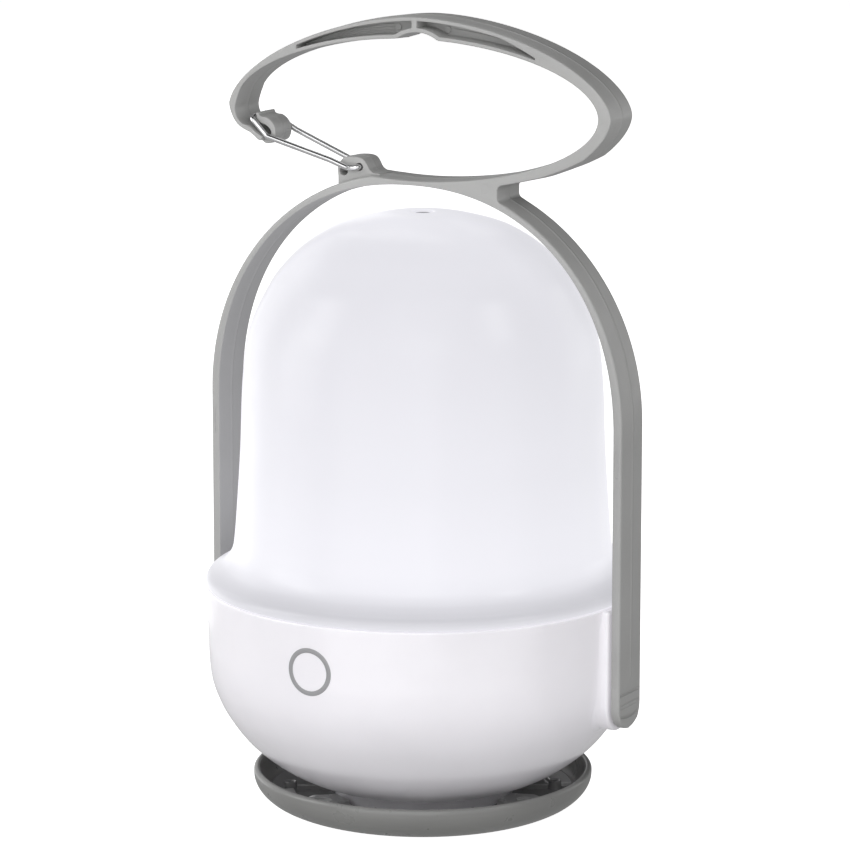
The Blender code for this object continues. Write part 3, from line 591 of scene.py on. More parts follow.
def metal(name, colour, roughness, streak=(1.0, 1.0, 1.0)):
    """Drawn or plated metal, with fine marks stretched along one direction."""
    nodes = Nodes(name)
    stretched = nodes.add("ShaderNodeMapping", {"Vector": nodes.place}, Scale=streak)
    marks = nodes.add("ShaderNodeTexNoise", {"Vector": stretched.outputs["Vector"]},
                      Scale=1400.0, Detail=3.0).outputs["Fac"]
    nodes.tint(nodes.noise(90.0, 2.0), *shades(colour, 0.05))
    nodes.link(nodes.spread(marks, roughness * 0.7, roughness * 1.4), "Roughness")
    nodes.bump(marks, 0.004)
    set_values(nodes.shader, Metallic=1.0)
    return nodes.material


def rubber(name, colour):
    nodes = Nodes(name)
    nodes.tint(nodes.noise(70.0, 3.0), *shades(colour, 0.10))
    nodes.link(nodes.spread(nodes.noise(300.0, 2.0), 0.62, 0.80), "Roughness")
    nodes.bump(nodes.noise(3600.0, 2.0, 0.6), 0.02)
    set_values(nodes.shader, Specular_IOR_Level=0.3)
    return nodes.material


def circuit_board(name, colour, copper):
    """Solder mask over traces: narrow lines of a lighter tone."""
    nodes = Nodes(name)
    mask = (*colour, 1.0)
    cells = nodes.add("ShaderNodeTexBrick", {"Vector": nodes.place}, Scale=220.0,
                      Mortar_Size=0.03, Color1=mask, Color2=mask, Mortar=(*copper, 1.0))
    nodes.link(cells.outputs["Color"], "Base Color")
    nodes.link(nodes.spread(nodes.noise(200.0), 0.3, 0.5), "Roughness")
    nodes.bump(cells.outputs["Fac"], 0.03)
    return nodes.material


def make_materials():
    return {
        "opal": opal("opal_diffuser"),
        "white": white_shell("glossy_white_painted_light"),
        "grey": plastic("satin_grey", (0.365, 0.365, 0.36), 0.40, grain=0.012, IOR=1.5),
        "gloss_grey": plastic("gloss_grey", (0.20, 0.20, 0.20), 0.10, IOR=1.5,
                              Coat_Weight=0.5, Coat_Roughness=0.05),
        "light_gloss": plastic("light_gloss_grey", (0.46, 0.46, 0.46), 0.12, IOR=1.5,
                               Coat_Weight=0.5, Coat_Roughness=0.05),
        "dish": plastic("dish_grey", (0.195, 0.195, 0.19), 0.30, grain=0.006, IOR=1.5),
        "ink": plastic("key_grey", (0.30, 0.30, 0.31), 0.35, IOR=1.5),
        "dimple_shade": plastic("gate_mark_painted_shade", (0.42, 0.42, 0.45), 0.45, IOR=1.5),
        "black": plastic("black_moulding", (0.03, 0.03, 0.03), 0.45, grain=0.015),
        "wire": metal("bright_wire", (0.80, 0.80, 0.81), 0.16, (0.15, 1.0, 0.6)),
        "nickel": metal("nickel_plate", (0.70, 0.69, 0.66), 0.26),
        "rubber": rubber("dark_rubber", (0.055, 0.055, 0.057)),
        "flap": rubber("grey_rubber", (0.24, 0.24, 0.24)),
        "green": circuit_board("green_board", (0.02, 0.16, 0.06), (0.05, 0.30, 0.12)),
        "white_board": circuit_board("white_board", (0.80, 0.80, 0.78), (0.62, 0.60, 0.55)),
        "cell": plastic("cell_wrap", (0.04, 0.20, 0.52), 0.30, Coat_Weight=0.4),
    }


# ---- diffuser and bowl

def dome_outside():
    """Outer side of the diffuser from the gate mark down to its lip."""
    keys = [(3.9, DOME_TOP), (13.05, 189.1), (24.9, 186.0), (31.6, 182.8), (37.9, 178.4),
            (43.3, 173.0), (47.9, 166.6), (54.0, 153.2), (56.2, 137.6), (57.1, 116.0),
            (58.15, 99.5), (59.0, 88.5), (59.9, 83.0), (62.2, 79.3), (65.2, 77.1),
            (67.0, 76.0), (67.95, 74.7), (68.1, LIP_Z + 0.3)]
    return smooth_curve(keys, 7)


def bowl_outside():
    """Outer side of the bowl from just under its rim to its flat bottom."""
    keys = [(SEAM_R, RIM_Z - 0.45), (67.9, 66.0), (67.62, 57.5), (67.4, 50.4), (66.85, 44.2),
            (65.6, 39.2), (62.6, 32.6), (57.4, 25.1), (51.9, 19.7), (44.8, 14.6), (37.4, 10.9),
            (30.5, 8.7)]
    return smooth_curve(keys, 7)


def make_dome(mats):
    """The diffuser, with a collar inside the bowl and a mark on top where it was filled, where a
    grey disc without glow paints the dimple's shade.
    """
    outside = dome_outside()
    mark_r = 3.3
    mark_z = DOME_TOP - 0.75
    mark = [(0.0, mark_z), (mark_r - 0.3, mark_z), (mark_r, mark_z + 0.2),
            (mark_r + 0.2, DOME_TOP - 0.15)]
    lip = arc((67.75, LIP_Z + 0.35), 0.35, 0.0, -90.0, 5)
    collar = [(SPIGOT_R + 0.5, LIP_Z), (SPIGOT_R, LIP_Z - 0.5), (SPIGOT_R, 67.9),
              (SPIGOT_R - 0.4, 67.5), (SPIGOT_R - 2.0, 67.5)]
    inside = offset_curve(outside[7:-20], DOME_WALL)[::-1]
    profile = mark + outside + lip + collar + inside + [(0.0, mark_z - DOME_WALL)]
    dome = turned(profile, closed=False).piece("dome_shell", mats["opal"], LANTERN, "opal")
    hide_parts("diffuser_dome")
    # Grey disc without glow in the dimple: painted shade of the recess
    disc = Shape()
    lathe(disc, [(0.0, mark_z + 0.12), (2.5, mark_z + 0.12), (2.75, mark_z + 0.02),
                 (2.75, mark_z - 0.2), (0.0, mark_z - 0.2)], closed=False, steps=48)
    disc.piece("gate_mark", mats["dimple_shade"], LANTERN, "opal")


def make_bowl(mats):
    outside = bowl_outside()
    rim = [(65.9, RIM_Z)] + arc((SEAM_R - 0.4, RIM_Z - 0.4), 0.4, 90.0, 0.0, 5)
    inside = offset_curve(outside[::3], BOWL_WALL)[::-1]
    hole_r = 20.3
    bottom = [(hole_r, BOWL_BOTTOM_Z), (hole_r, BOWL_BOTTOM_Z + BOWL_WALL)]
    shape = turned(rim + outside + bottom + inside[:-1] + [(65.6, RIM_Z - 0.3)])
    bowl = shape.piece("bowl_shell", mats["white"], LANTERN, "white_shell")
    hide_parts("body_bowl")
    low, high = in_mm(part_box("port_cover"))
    opening = Vector((high.x - low.x + 0.6, 14.0, high.z - low.z + 0.9))
    cut_box(bowl, Vector((0.0, 66.0, 0.5 * (low.z + high.z))), opening, 1.0)


def rounded_box(centre, size, radius):
    """A mesh box in millimetres whose edges along Y are rounded."""
    half_x, half_z = 0.5 * size.x, 0.5 * size.z
    corners = [(half_x, half_z), (-half_x, half_z), (-half_x, -half_z), (half_x, -half_z)]
    outline = round_corners(anticlockwise(corners), radius, steps=4)
    shape = Shape()
    shape.solid([shape.loop((centre.x + x, centre.y + side * 0.5 * size.y, centre.z + z)
                            for x, z in outline) for side in (-1, 1)])
    return shape


def cut_box(obj, centre, size, radius):
    """Cut a box with rounded corners out of a piece, and keep the result as its mesh."""
    cutter = add_object("cutter", rounded_box(centre, size, radius).mesh("cutter"))
    modifier = obj.modifiers.new("Cut", "BOOLEAN")
    modifier.operation = "DIFFERENCE"
    modifier.solver = "EXACT"
    modifier.object = cutter
    result = evaluated_mesh(obj)
    obj.modifiers.clear()
    obj.data = result
    smooth_faces(result, 32.0)
    bpy.data.objects.remove(cutter, do_unlink=True)


def make_touch_key(mats):
    """A flat ring let into the bowl's front, following its curve."""
    profile = bowl_outside()
    turn = Matrix.Rotation(radians(TOUCH_TURN), 4, "Z")
    shape = Shape()
    inner_r = TOUCH_R - TOUCH_LINE
    section = [(inner_r, -0.4), (inner_r, 0.03), (inner_r + 0.1, 0.08),
               (TOUCH_R - 0.5 * TOUCH_LINE, 0.09), (TOUCH_R - 0.1, 0.08), (TOUCH_R, 0.03),
               (TOUCH_R, -0.4)]
    loops = []
    steps = 96
    for k in range(steps):
        a = 2.0 * pi * k / steps
        points = []
        for r, lift in section:
            x = r * cos(a)
            z = TOUCH_Z + r * sin(a)
            y = -sqrt((radius_at(profile, z) + lift) ** 2 - x * x)
            points.append(turn @ Vector((x, y, z)))
        loops.append(shape.loop(points))
    shape.bands(loops + loops[:1])
    key = shape.piece("touch_key", mats["ink"], LANTERN, "ink_grey")
    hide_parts("touch_ring")


def make_pads(mats):
    """The two pads that carry the handle, flowing into the bowl."""
    profile = bowl_outside()
    outline = anticlockwise(stadium(PAD_HALF_WIDTH, PIVOT_Z, PAD_TOP_Z, 49))
    outline = round_corners(outline, 1.2)
    for side, sign in (("left", -1), ("right", 1)):
        shape = Shape()
        loops = []
        for k in range(6):
            a = radians(18.0 * k)
            flat = inset_loop(outline, PAD_EDGE * (1.0 - sin(a)))
            x = PAD_FACE_X - PAD_EDGE * (1.0 - cos(a))
            loops.append(shape.loop((sign * x, y, z) for y, z in flat))
        for k in range(7):
            a = radians(15.0 * k)
            grow = [-PAD_FLOW * pad_flow(z) * (1.0 - cos(a)) for _, z in outline]
            ring = []
            for y, z in inset_loop(outline, grow):
                surface = sqrt(max(0.0, radius_at(profile, z) ** 2 - y * y))
                lift = PAD_FLOW * pad_flow(z) * (1.0 - sin(a))
                ring.append((sign * (surface + lift - 0.02), y, z))
            loops.append(shape.loop(ring))
        loops.append(shape.loop((x - sign, y, z) for x, y, z in ring))
        shape.solid(loops)
        pad = shape.piece("pad_" + side, mats["white"], LANTERN, "white_shell")
        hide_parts("pivot_pad_" + side)


def pad_flow(z):
    """How much of the blend a pad has at a height: none along its flat top."""
    return max(0.02, min(1.0, (PAD_TOP_Z - 1.5 - z) / 4.0))


def make_port_flap(mats):
    """Rubber cover of the charging port, with a thumb lip."""
    low, high = in_mm(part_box("port_cover"))
    corners = [(high.x, high.z), (low.x, high.z), (low.x, low.z), (high.x, low.z)]
    outline = round_corners(anticlockwise(corners), 1.0)
    shape = Shape()
    loops = []
    for y, inset in ((low.y, 0.5), (low.y + 0.3, 0.1), (high.y - 0.35, 0.0),
                     (high.y - 0.12, 0.1), (high.y, 0.4)):
        loops.append(shape.loop((x, y, z) for x, z in inset_loop(outline, inset)))
    shape.solid(loops)
    lip = rounded_box(Vector((0.0, high.y - 0.1, high.z - 1.0)), Vector((6.0, 0.7, 0.8)), 0.35)
    start = len(shape.points)
    shape.points += lip.points
    shape.faces += [tuple(i + start for i in face) for face in lip.faces]
    flap = shape.piece("port_flap_cover", mats["flap"], FLAP, "rubber")
    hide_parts("port_cover")


# ---- base

def make_neck(mats):
    """The collar between bowl and dish, with a shallow groove round it."""
    collar_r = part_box("neck_collar")[1].x / MM
    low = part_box("neck_collar")[0].z / MM
    top = 8.3
    profile = [(17.5, 11.4), (17.8, 11.6), (19.7, 11.6), (20.0, 11.3), (20.0, top)]
    profile += [(collar_r - 0.3, top), (collar_r, top - 0.3), (collar_r - 0.35, 5.6),
                (collar_r, low + 0.6), (collar_r, low), (17.5, low)]
    neck = turned(profile).piece("neck", mats["white"], LANTERN, "white_shell")
    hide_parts("neck_collar")


def make_dish(mats):
    """The dish with its rounded rim, hollow under the middle for the foot."""
    rim_r = 1.15
    outside = smooth_curve([(DISH_R, 11.2), (53.45, 9.6), (52.95, 8.1), (52.05, 6.6), (50.6, 5.0),
                            (48.6, 3.5), (45.6, 2.1), (42.0, 1.15), (38.2, 0.62)], 5)
    rim = arc((DISH_R - rim_r, DISH_RIM_Z - rim_r), rim_r, 125.0, 0.0, 11)
    inside = smooth_curve([(0.0, 2.9), (30.0, 2.9), (44.5, 2.9), (47.6, 3.5), (49.4, 5.2),
                           (50.5, 7.8), (51.1, 10.2), (DISH_R - 2.1, DISH_RIM_Z - 0.7)], 5)
    foot_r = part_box("foot_ring")[1].x / MM
    under = [(foot_r + 0.5, 0.6), (foot_r + 0.3, 0.8), (foot_r + 0.3, 1.6), (0.0, 1.6)]
    shape = turned(inside[:-1] + rim + outside + under, closed=False)
    dish = shape.piece("dish_shell", mats["dish"], LANTERN, "grey_satin")
    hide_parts("base_dish")


def tongue(length, half_width):
    """Outline of a pad with a round outer end, along +X from its inner end."""
    end = arc((length - half_width, 0.0), half_width, -80.0, 80.0, 17)
    return anticlockwise([(0.0, -half_width * 0.62)] + end + [(0.0, half_width * 0.62)])


def raised_pad(shape, outline, place, low, top, edge, dents=()):
    """A raised flat shape with rounded upper edges, standing on the dish's plate.

    dents are (centre, radius, depth) of round hollows in its top.
    """
    def level(flat, z):
        return shape.loop(place @ Vector((u, v, z)) for u, v in flat)

    loops = [level(inset_loop(outline, -0.35), low)]
    for k in range(5):
        a = radians(22.5 * k)
        flat = inset_loop(outline, edge * (1.0 - cos(a)))
        loops.append(level(flat, top - edge * (1.0 - sin(a))))
    shape.bands(loops)
    shape.cap(loops[0])
    mouths = []
    for centre, radius, depth in dents:
        rings = [level(circle(centre, r, 28), z) for r, z in
                 ((radius + 0.15, top), (radius, top - 0.15), (radius - 0.1, top - depth))]
        shape.bands(rings)
        shape.cap(rings[-1])
        mouths.append(rings[0])
    shape.cap(loops[-1], *mouths)


def make_insert(mats):
    """Glossy moulding in the dish: a plate with pads, bosses and sloping panels."""
    inner_r = -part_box("dish_insert")[0].x / MM
    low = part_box("dish_insert")[0].z / MM
    plate_top = low + 1.2
    foot = plate_top - 0.3
    shape = turned([(28.6, plate_top), (45.5, plate_top), (inner_r - 0.2, plate_top + 0.75),
                    (inner_r, plate_top + 0.55), (inner_r, low + 0.9), (46.0, low), (28.6, low)])
    plate = shape.piece("insert_plate", mats["gloss_grey"], LANTERN, "grey_gloss")
    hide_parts("dish_insert")
    pads = Shape()
    bosses = Shape()
    panels = Shape()
    dents = [((7.4, 0.0), 2.6, 0.9), ((2.6, 3.6), 0.45, 0.8), ((2.6, -3.6), 0.45, 0.8)]
    boss = [(0.0, 6.0), (0.9, 6.0), (1.1, 7.0), (1.7, 7.2), (2.0, 6.9), (2.2, plate_top),
            (2.4, low + 0.6), (0.0, low + 0.6)]
    rib = round_corners([(30.0, -0.55), (41.0, -0.55), (41.0, 0.55), (30.0, 0.55)], 0.3)
    panel = arc((0.0, 0.0), 40.8, 34.0, 52.0, 9) + arc((0.0, 0.0), 47.6, 50.0, 33.0, 9)
    panel = round_corners(anticlockwise(panel), 1.0)
    for k in range(6):
        turn = Matrix.Rotation(radians(60.0 * k), 4, "Z")
        pad_place = turn @ Matrix.Translation((29.2, 0.0, 0.0))
        raised_pad(pads, tongue(12.6, 6.6), pad_place, foot, 6.2, 0.45, dents)
        raised_pad(panels, panel, turn, foot, 5.7, 0.4)
        turn = Matrix.Rotation(radians(60.0 * k + 30.0), 4, "Z")
        boss_place = turn @ Matrix.Translation((42.0, 0.0, 0.0))
        lathe(bosses, boss, closed=False, steps=28, place=boss_place)
        raised_pad(bosses, rib, turn, foot, 5.9, 0.25)
    pads.piece("insert_pads", mats["light_gloss"], LANTERN, "grey_gloss")
    bosses.piece("insert_bosses", mats["gloss_grey"], LANTERN, "grey_gloss")
    panels.piece("insert_panels", mats["light_gloss"], LANTERN, "grey_gloss")


def make_foot(mats):
    """Rubber foot with three round treads."""
    inner_r = 30.0
    outer_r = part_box("foot_ring")[1].x / MM
    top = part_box("foot_ring")[1].z / MM
    pitch = (outer_r - inner_r) / 3.0
    half = 0.5 * pitch - 0.25
    treads = []
    for k in range(3):
        centre = outer_r - pitch * (k + 0.5)
        treads += [(centre + half, 0.4), (centre + half - 0.3, 0.0), (centre - half + 0.3, 0.0),
                   (centre - half, 0.4)]
    shape = turned([(inner_r, top), (outer_r, top)] + treads)
    foot = shape.piece("foot", mats["rubber"], LANTERN, "rubber")
    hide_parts("foot_ring")


def make_base_screws(mats):
    """Pan heads with a cross recess, in the underside of the dish."""
    for i in range(1, 5):
        low, high = in_mm(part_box("base_screw_%d" % i))
        centre = 0.5 * (low + high)
        place = Matrix.Translation((centre.x, centre.y, 0.0))
        shape = Shape()
        head = low.z
        steps = 32
        lathe(shape, [(0.0, high.z), (0.7, high.z), (0.9, high.z - 0.4), (0.9, head + 0.9),
                      (2.2, head + 0.9), (2.2, head + 0.4), (1.8, head + 0.08), (1.4, head)],
              closed=False, steps=steps, place=place)
        rim = list(range(len(shape.points) - steps, len(shape.points)))
        cross = cross_outline(1.15, 0.26)
        mouth = shape.loop((centre.x + x, centre.y + y, head) for x, y in cross)
        floor = shape.loop((centre.x + 0.8 * x, centre.y + 0.8 * y, head + 0.6) for x, y in cross)
        shape.band(mouth, floor)
        shape.cap(floor)
        shape.cap(rim, mouth)
        screw = shape.piece("screw_%d" % i, mats["nickel"], LANTERN, "nickel")
        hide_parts("base_screw_%d" % i)


def cross_outline(reach, half):
    arm = [(half, half), (half, reach), (-half, reach)]
    return [tuple(Matrix.Rotation(radians(90.0 * k), 2) @ Vector(point))
            for k in range(4) for point in arm]


# ---- handle

def above_notch(x, z, margin):
    """A height at x, raised to stay a margin above the hanging notch."""
    reach = (NOTCH[2] + margin) ** 2 - (x - NOTCH[0]) ** 2
    return max(z, NOTCH[1] + sqrt(reach)) if reach > 0.0 and z > NOTCH[1] else z


def ring_nose():
    """The open end of the ring, from its inner side round the tip to its outer side."""
    inside = smooth_curve([(-62.3, 222.4), (-63.1, 219.8), (-63.15, 218.0), (-62.3, 215.9),
                           (-60.6, 214.4), (-58.5, 213.8), (-57.1, 213.0), (-55.7, 211.9)], 4)
    outside = smooth_curve([(-55.8, 209.7), (-57.0, 210.6), (-58.4, 211.5), (-60.1, 212.15),
                            (-62.2, 213.3), (-64.0, 215.15), (-65.25, 217.6), (-65.8, 219.4)], 4)
    return inside + arc((-54.45, 210.05), 1.05, 50.0, -118.0, 12) + outside


def frame_segments():
    """Stretches of the handle's outline in order, each with the radius of its long edges."""
    inner_x = ARCH_INNER[1][0]
    inside_z = [FOOT_Z + 1.2 * i for i in range(9)] + [50.0, 62.0, 76.0, 92.0, 108.0]
    outside_z = [116.0, 104.0, 90.0, 76.0, 64.0, 56.0] + [51.0 - 0.3 * i for i in range(53)]
    outside_z.append(FOOT_Z)
    ring_in = [(x, above_notch(x, z, 0.0))
               for x, z in superellipse(RING_INNER, -100.0, 168.0, 330)]
    under = smooth_curve([(57.6, 209.3), (54.0, 207.55), (50.0, 205.9), (44.5, 203.9),
                          (38.0, 202.25), (33.6, 201.2)], 4)
    fork = arc((31.8, 199.2), 1.6, 104.0, 180.0, 8) + arc((31.7, 197.1), 1.5, 180.0, 247.0, 8)
    return [
        ([(inner_x, z) for z in inside_z], FINE_EDGE),
        (superellipse(ARCH_INNER, 0.0, 180.0, 150), FINE_EDGE),
        ([(-inner_x, z) for z in inside_z[::-1]], FINE_EDGE),
        ([(-LEG_X, z) for z in outside_z[::-1]], LEG_EDGE),
        (superellipse(ARCH_OUTER, 180.0, 101.0, 70), LEG_EDGE),
        (ring_in, FINE_EDGE),
        (ring_nose(), FINE_EDGE),
        (superellipse(RING_OUTER, 176.5, -29.0, 260), 0.4),
        (under, 0.4),
        (fork, 0.3),
        (superellipse(ARCH_OUTER, 63.3, 0.0, 60), LEG_EDGE),
        ([(LEG_X, z) for z in outside_z], LEG_EDGE),
    ]


def flatten(segments):
    """One outline from its stretches, and the edge radius at each point."""
    outline = [point for points, _ in segments for point in points]
    radii = [radius for points, radius in segments for _ in points]
    return outline, radii


def soften_feet(outline, radii):
    """Round the four corners at the feet of the legs."""
    points = []
    edges = []
    for (x, z), radius in zip(outline, radii):
        if abs(z - FOOT_Z) > 0.001:
            points.append((x, z))
            edges.append(radius)
            continue
        outer = abs(x) > 0.5 * (LEG_X + ARCH_INNER[1][0])
        bend = 1.35 if outer else 0.7
        inward = copysign(bend, x) * (-1.0 if outer else 1.0)
        turns = [radians(18.0 * k) for k in range(6)]
        corner = [(x + inward * (1.0 - sin(t)), FOOT_Z + bend * (1.0 - cos(t)))
                  for t in turns]
        going_down = points and points[-1][1] > FOOT_Z + 0.001 and abs(points[-1][0] - x) < 0.5
        corner = corner[::-1] if going_down else corner
        points += corner
        edges += [radius] * len(corner)
    return points, edges


def clamp(share):
    return min(1.0, max(0.0, share))


def leg_relief(point):
    """Grip grooves and the sloping end of the parting ridge, on the legs' outer faces."""
    x, y, z = point
    if abs(x) < LEG_X - 1.2 or z > FACET_Z[1] + 0.1:
        return point
    flat_x = LEG_X - DRAFT
    slope = (LEG_X - flat_x) / (FACET_Z[1] - FACET_Z[0])
    limit = flat_x + max(0.0, z - FACET_Z[0]) * slope
    ridge = max(0.0, abs(x) - limit)
    across = clamp((GROOVE_REACH - abs(y)) / 0.5)
    wall = max(clamp((GROOVE_HALF - abs(z - groove)) / GROOVE_SIDE) for groove in GROOVES_Z)
    depth = ridge + GROOVE_DEPTH * wall * across
    return copysign(abs(x) - depth, x), y, z


def round_foot(point):
    """Bend the square end of a leg into a half circle about the pivot."""
    x, y, z = leg_relief(point)
    if z > PIVOT_Z or abs(x) < 60.0:
        return x, y, z
    v = (PIVOT_Z - z) / HALF_WIDTH
    u = y / HALF_WIDTH
    return (x, HALF_WIDTH * u * sqrt(1.0 - 0.5 * v * v),
            PIVOT_Z - HALF_WIDTH * v * sqrt(1.0 - 0.5 * u * u))


def pocket_heights(x):
    """Bottom and top of the pockets at x, between the ring's two curves."""
    return height_on(RING_INNER, x, 1) + 1.5, height_on(RING_OUTER, x, 1) - POCKET_RIM


def pocket_outline(side):
    """A crescent pocket in the top of the ring, left (-1) or right (1) of the middle web."""
    web = 1.0 + 0.9 * side
    tip = 0.875 + 41.875 * side
    count = 60
    upper = []
    lower = []
    for i in range(count):
        x = web + (tip - web) * i / (count - 1)
        bottom, top = pocket_heights(x)
        bottom = above_notch(x, bottom, 1.6)
        if side > 0:
            top = min(top, bottom + 0.6 + 0.22 * (tip - x))
        middle = 0.5 * (top + bottom)
        half = max(0.5 * (top - bottom), 0.3)
        upper.append((x, middle + half))
        lower.append((x, middle - half))
    return round_corners(anticlockwise(upper + lower[::-1]), 0.35)


def slot_outline(low, high, half, count):
    """An upright slot with round ends, about two centres one above the other."""
    return arc(low, half, 180.0, 360.0, count) + arc(high, half, 0.0, 180.0, count)


def face_recesses():
    """Recesses in a face of the handle: pockets, ejector marks and small slots."""
    marks = [(-44.5, 237.9, 0.85), (45.6, 239.6, 1.3), (66.1, 221.1, 1.3), (25.7, 199.4, 1.5)]
    recesses = [(pocket_outline(side), POCKET_DEPTH) for side in (-1, 1)]
    recesses += [(circle((x, z), r, 24), 0.07) for x, z, r in marks]
    for x in (-71.3, 71.3):
        recesses.append((slot_outline((x, 114.6), (x, 121.6), 0.5, 9), 0.3))
        recesses.append((slot_outline((x, 48.4), (x, 56.5), 0.5, 9), 0.2))
    return recesses


def make_handle(mats):
    """Legs, arch and ring in one moulding, and the smaller shapes that belong to it."""
    outline, radii = soften_feet(*flatten(frame_segments()))
    shape = Shape()
    faces = side_walls(shape, outline[::-1], radii[::-1], HALF_WIDTH, DRAFT, round_foot)
    recesses = face_recesses()
    for sign, outer in zip((-1, 1), faces):
        mouths = [recess(shape, hole, sign * HALF_WIDTH, -sign * depth)
                  for hole, depth in recesses]
        shape.cap(outer, *mouths)
    bow = shape.piece("handle_bow", mats["grey"], HANDLE, "grey_satin", SHARP_ANGLE)
    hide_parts("handle_frame")
    make_pocket_ribs(mats)
    make_lug(mats)
    make_hook(mats)


def make_pocket_ribs(mats):
    """Ribs and ejector bosses on the floors of the pockets."""
    floor = HALF_WIDTH - POCKET_DEPTH
    boss = [(0.0, 0.35), (0.95, 0.35), (1.05, 0.28), (1.05, -0.3), (0.0, -0.3)]
    ribs = ((-9.5, -33.0, 0.25), (-9.5, -31.0, 0.5), (-9.5, -28.0, 0.75),
            (11.5, 32.0, 0.5), (11.5, 29.0, 0.8))
    turn = Matrix.Rotation(radians(90.0), 4, "X")
    shape = Shape()
    for face in (-1, 1):
        for x in (-7.9, 9.5):
            place = Matrix.Translation((x, face * floor, 246.9)) @ turn
            profile = [(r, -face * h) for r, h in boss]
            lathe(shape, profile, closed=False, steps=28, place=place)
        for start, end, share in ribs:
            rib = pocket_rib(start, end, share, face * floor, face * 0.45)
            shape.solid([shape.loop(points) for points in rib])
    shape.piece("pocket_ribs", mats["grey"], HANDLE, "grey_satin")


def pocket_rib(start, end, share, floor_y, rise):
    """Cross-sections of a low rib that runs along a pocket at a share of its height."""
    sections = []
    count = 30
    half = 0.2
    for i in range(count):
        x = start + (end - start) * i / (count - 1)
        bottom, top = pocket_heights(x)
        z = bottom + (top - bottom) * share
        sections.append([(x, floor_y - rise * 0.4, z - half), (x, floor_y + rise, z - 0.6 * half),
                         (x, floor_y + rise, z + 0.6 * half), (x, floor_y - rise * 0.4, z + half)])
    return sections


def make_lug(mats):
    """The lug that the gate's two ends sit in."""
    right_end = arc((-13.4, 200.45), 0.9, -80.0, 80.0, 7)
    upper = smooth_curve([(-15.2, 201.5), (-16.5, 202.4), (-17.4, 204.0), (-18.6, 205.4),
                          (-20.7, 206.0), (-24.4, 205.85), (-26.2, 205.2), (-27.9, 202.6),
                          (-27.8, 199.3), (-27.8, 197.0)], 4)
    left_end = arc((-26.9, 196.0), 0.9, 180.0, 290.0, 7)
    outline = right_end + upper + left_end + [(-22.0, 197.3), (-17.0, 198.8)]
    shape = Shape()
    front, back = side_walls(shape, outline, [SMALL_EDGE] * len(outline), LUG_HALF_DEPTH,
                             SMALL_DRAFT)
    mouths = [lug_hole(shape, sections) for sections in lug_hole_sections()]
    shape.cap(front, *(first for first, _ in mouths))
    shape.cap(back, *(last for _, last in mouths))
    shape.piece("gate_lug", mats["grey"], HANDLE, "grey_satin", SHARP_ANGLE)


def lug_hole_sections():
    """Outlines along the lug's two holes, each with its share of the depth and its flare."""
    top_end = (GATE_REAR_END[0], GATE_REAR_END[1] + SLOT_RISE)
    pin = circle(GATE_AXIS, 1.2, 28)
    hole = slot_outline(LUG_HOLE, LUG_HOLE, 1.4, 14)
    slot = slot_outline(GATE_REAR_END, top_end, 1.0, 14)
    return (((pin, -1.0, 0.1), (pin, -0.96, 0.0), (pin, 0.96, 0.0), (pin, 1.0, 0.1)),
            ((hole, -1.0, 0.1), (hole, -0.96, 0.0), (hole, -0.1, 0.0),
             (slot, 0.3, 0.0), (slot, 0.98, 0.0), (slot, 1.0, 0.05)))


def lug_hole(shape, sections):
    """The wall of a hole through the lug. Returns the loops of its two mouths."""
    rings = []
    for outline, share, grow in sections:
        flat = inset_loop(outline, -grow)
        rings.append(shape.loop((x, share * LUG_HALF_DEPTH, z) for x, z in flat))
    shape.bands(rings)
    return rings[0], rings[-1]


def make_hook(mats):
    """The curled end of the ring that the gate closes on, with an upturned lip."""
    tip = arc((-56.6, 217.2), 0.6, 190.0, -10.0, 9)
    outside = smooth_curve([(-55.65, 216.75), (-54.7, 216.5), (-53.2, 216.35), (-51.4, 215.2),
                            (-50.3, 213.6), (-50.0, 211.9), (-50.2, 210.3), (-50.9, 208.9),
                            (-52.2, 208.15), (-53.8, 208.1), (-55.0, 208.9)], 4)
    root = [(-56.3, 210.3), (-55.8, 211.2)]
    inside = smooth_curve([(-54.6, 210.95), (-53.2, 210.6), (-52.2, 210.9), (-51.8, 211.7),
                           (-52.3, 212.8), (-53.7, 213.8), (-55.5, 214.4), (-57.0, 215.6)], 4)
    outline = round_corners(anticlockwise(tip + outside + root + inside), 0.6, 45.0)
    shape = Shape()
    for face in side_walls(shape, outline, [SMALL_EDGE] * len(outline), HOOK_HALF_DEPTH,
                           SMALL_DRAFT):
        shape.cap(face)
    shape.piece("gate_hook", mats["grey"], HANDLE, "grey_satin", SHARP_ANGLE)


def bent_path(corners, bend):
    """A wire's route with a curve at each corner."""
    route = [Vector(corners[0])]
    for before, corner, after in zip(corners, corners[1:], corners[2:]):
        here = Vector(corner)
        back = Vector(before) - here
        ahead = Vector(after) - here
        turn = pi - back.angle(ahead)
        reach = min(bend * tan(0.5 * turn), 0.48 * back.length, 0.48 * ahead.length)
        start = here + back.normalized() * reach
        end = here + ahead.normalized() * reach
        for k in range(8):
            t = k / 7
            route.append(start * (1 - t) ** 2 + here * 2 * t * (1 - t) + end * t * t)
    route.append(Vector(corners[-1]))
    return route


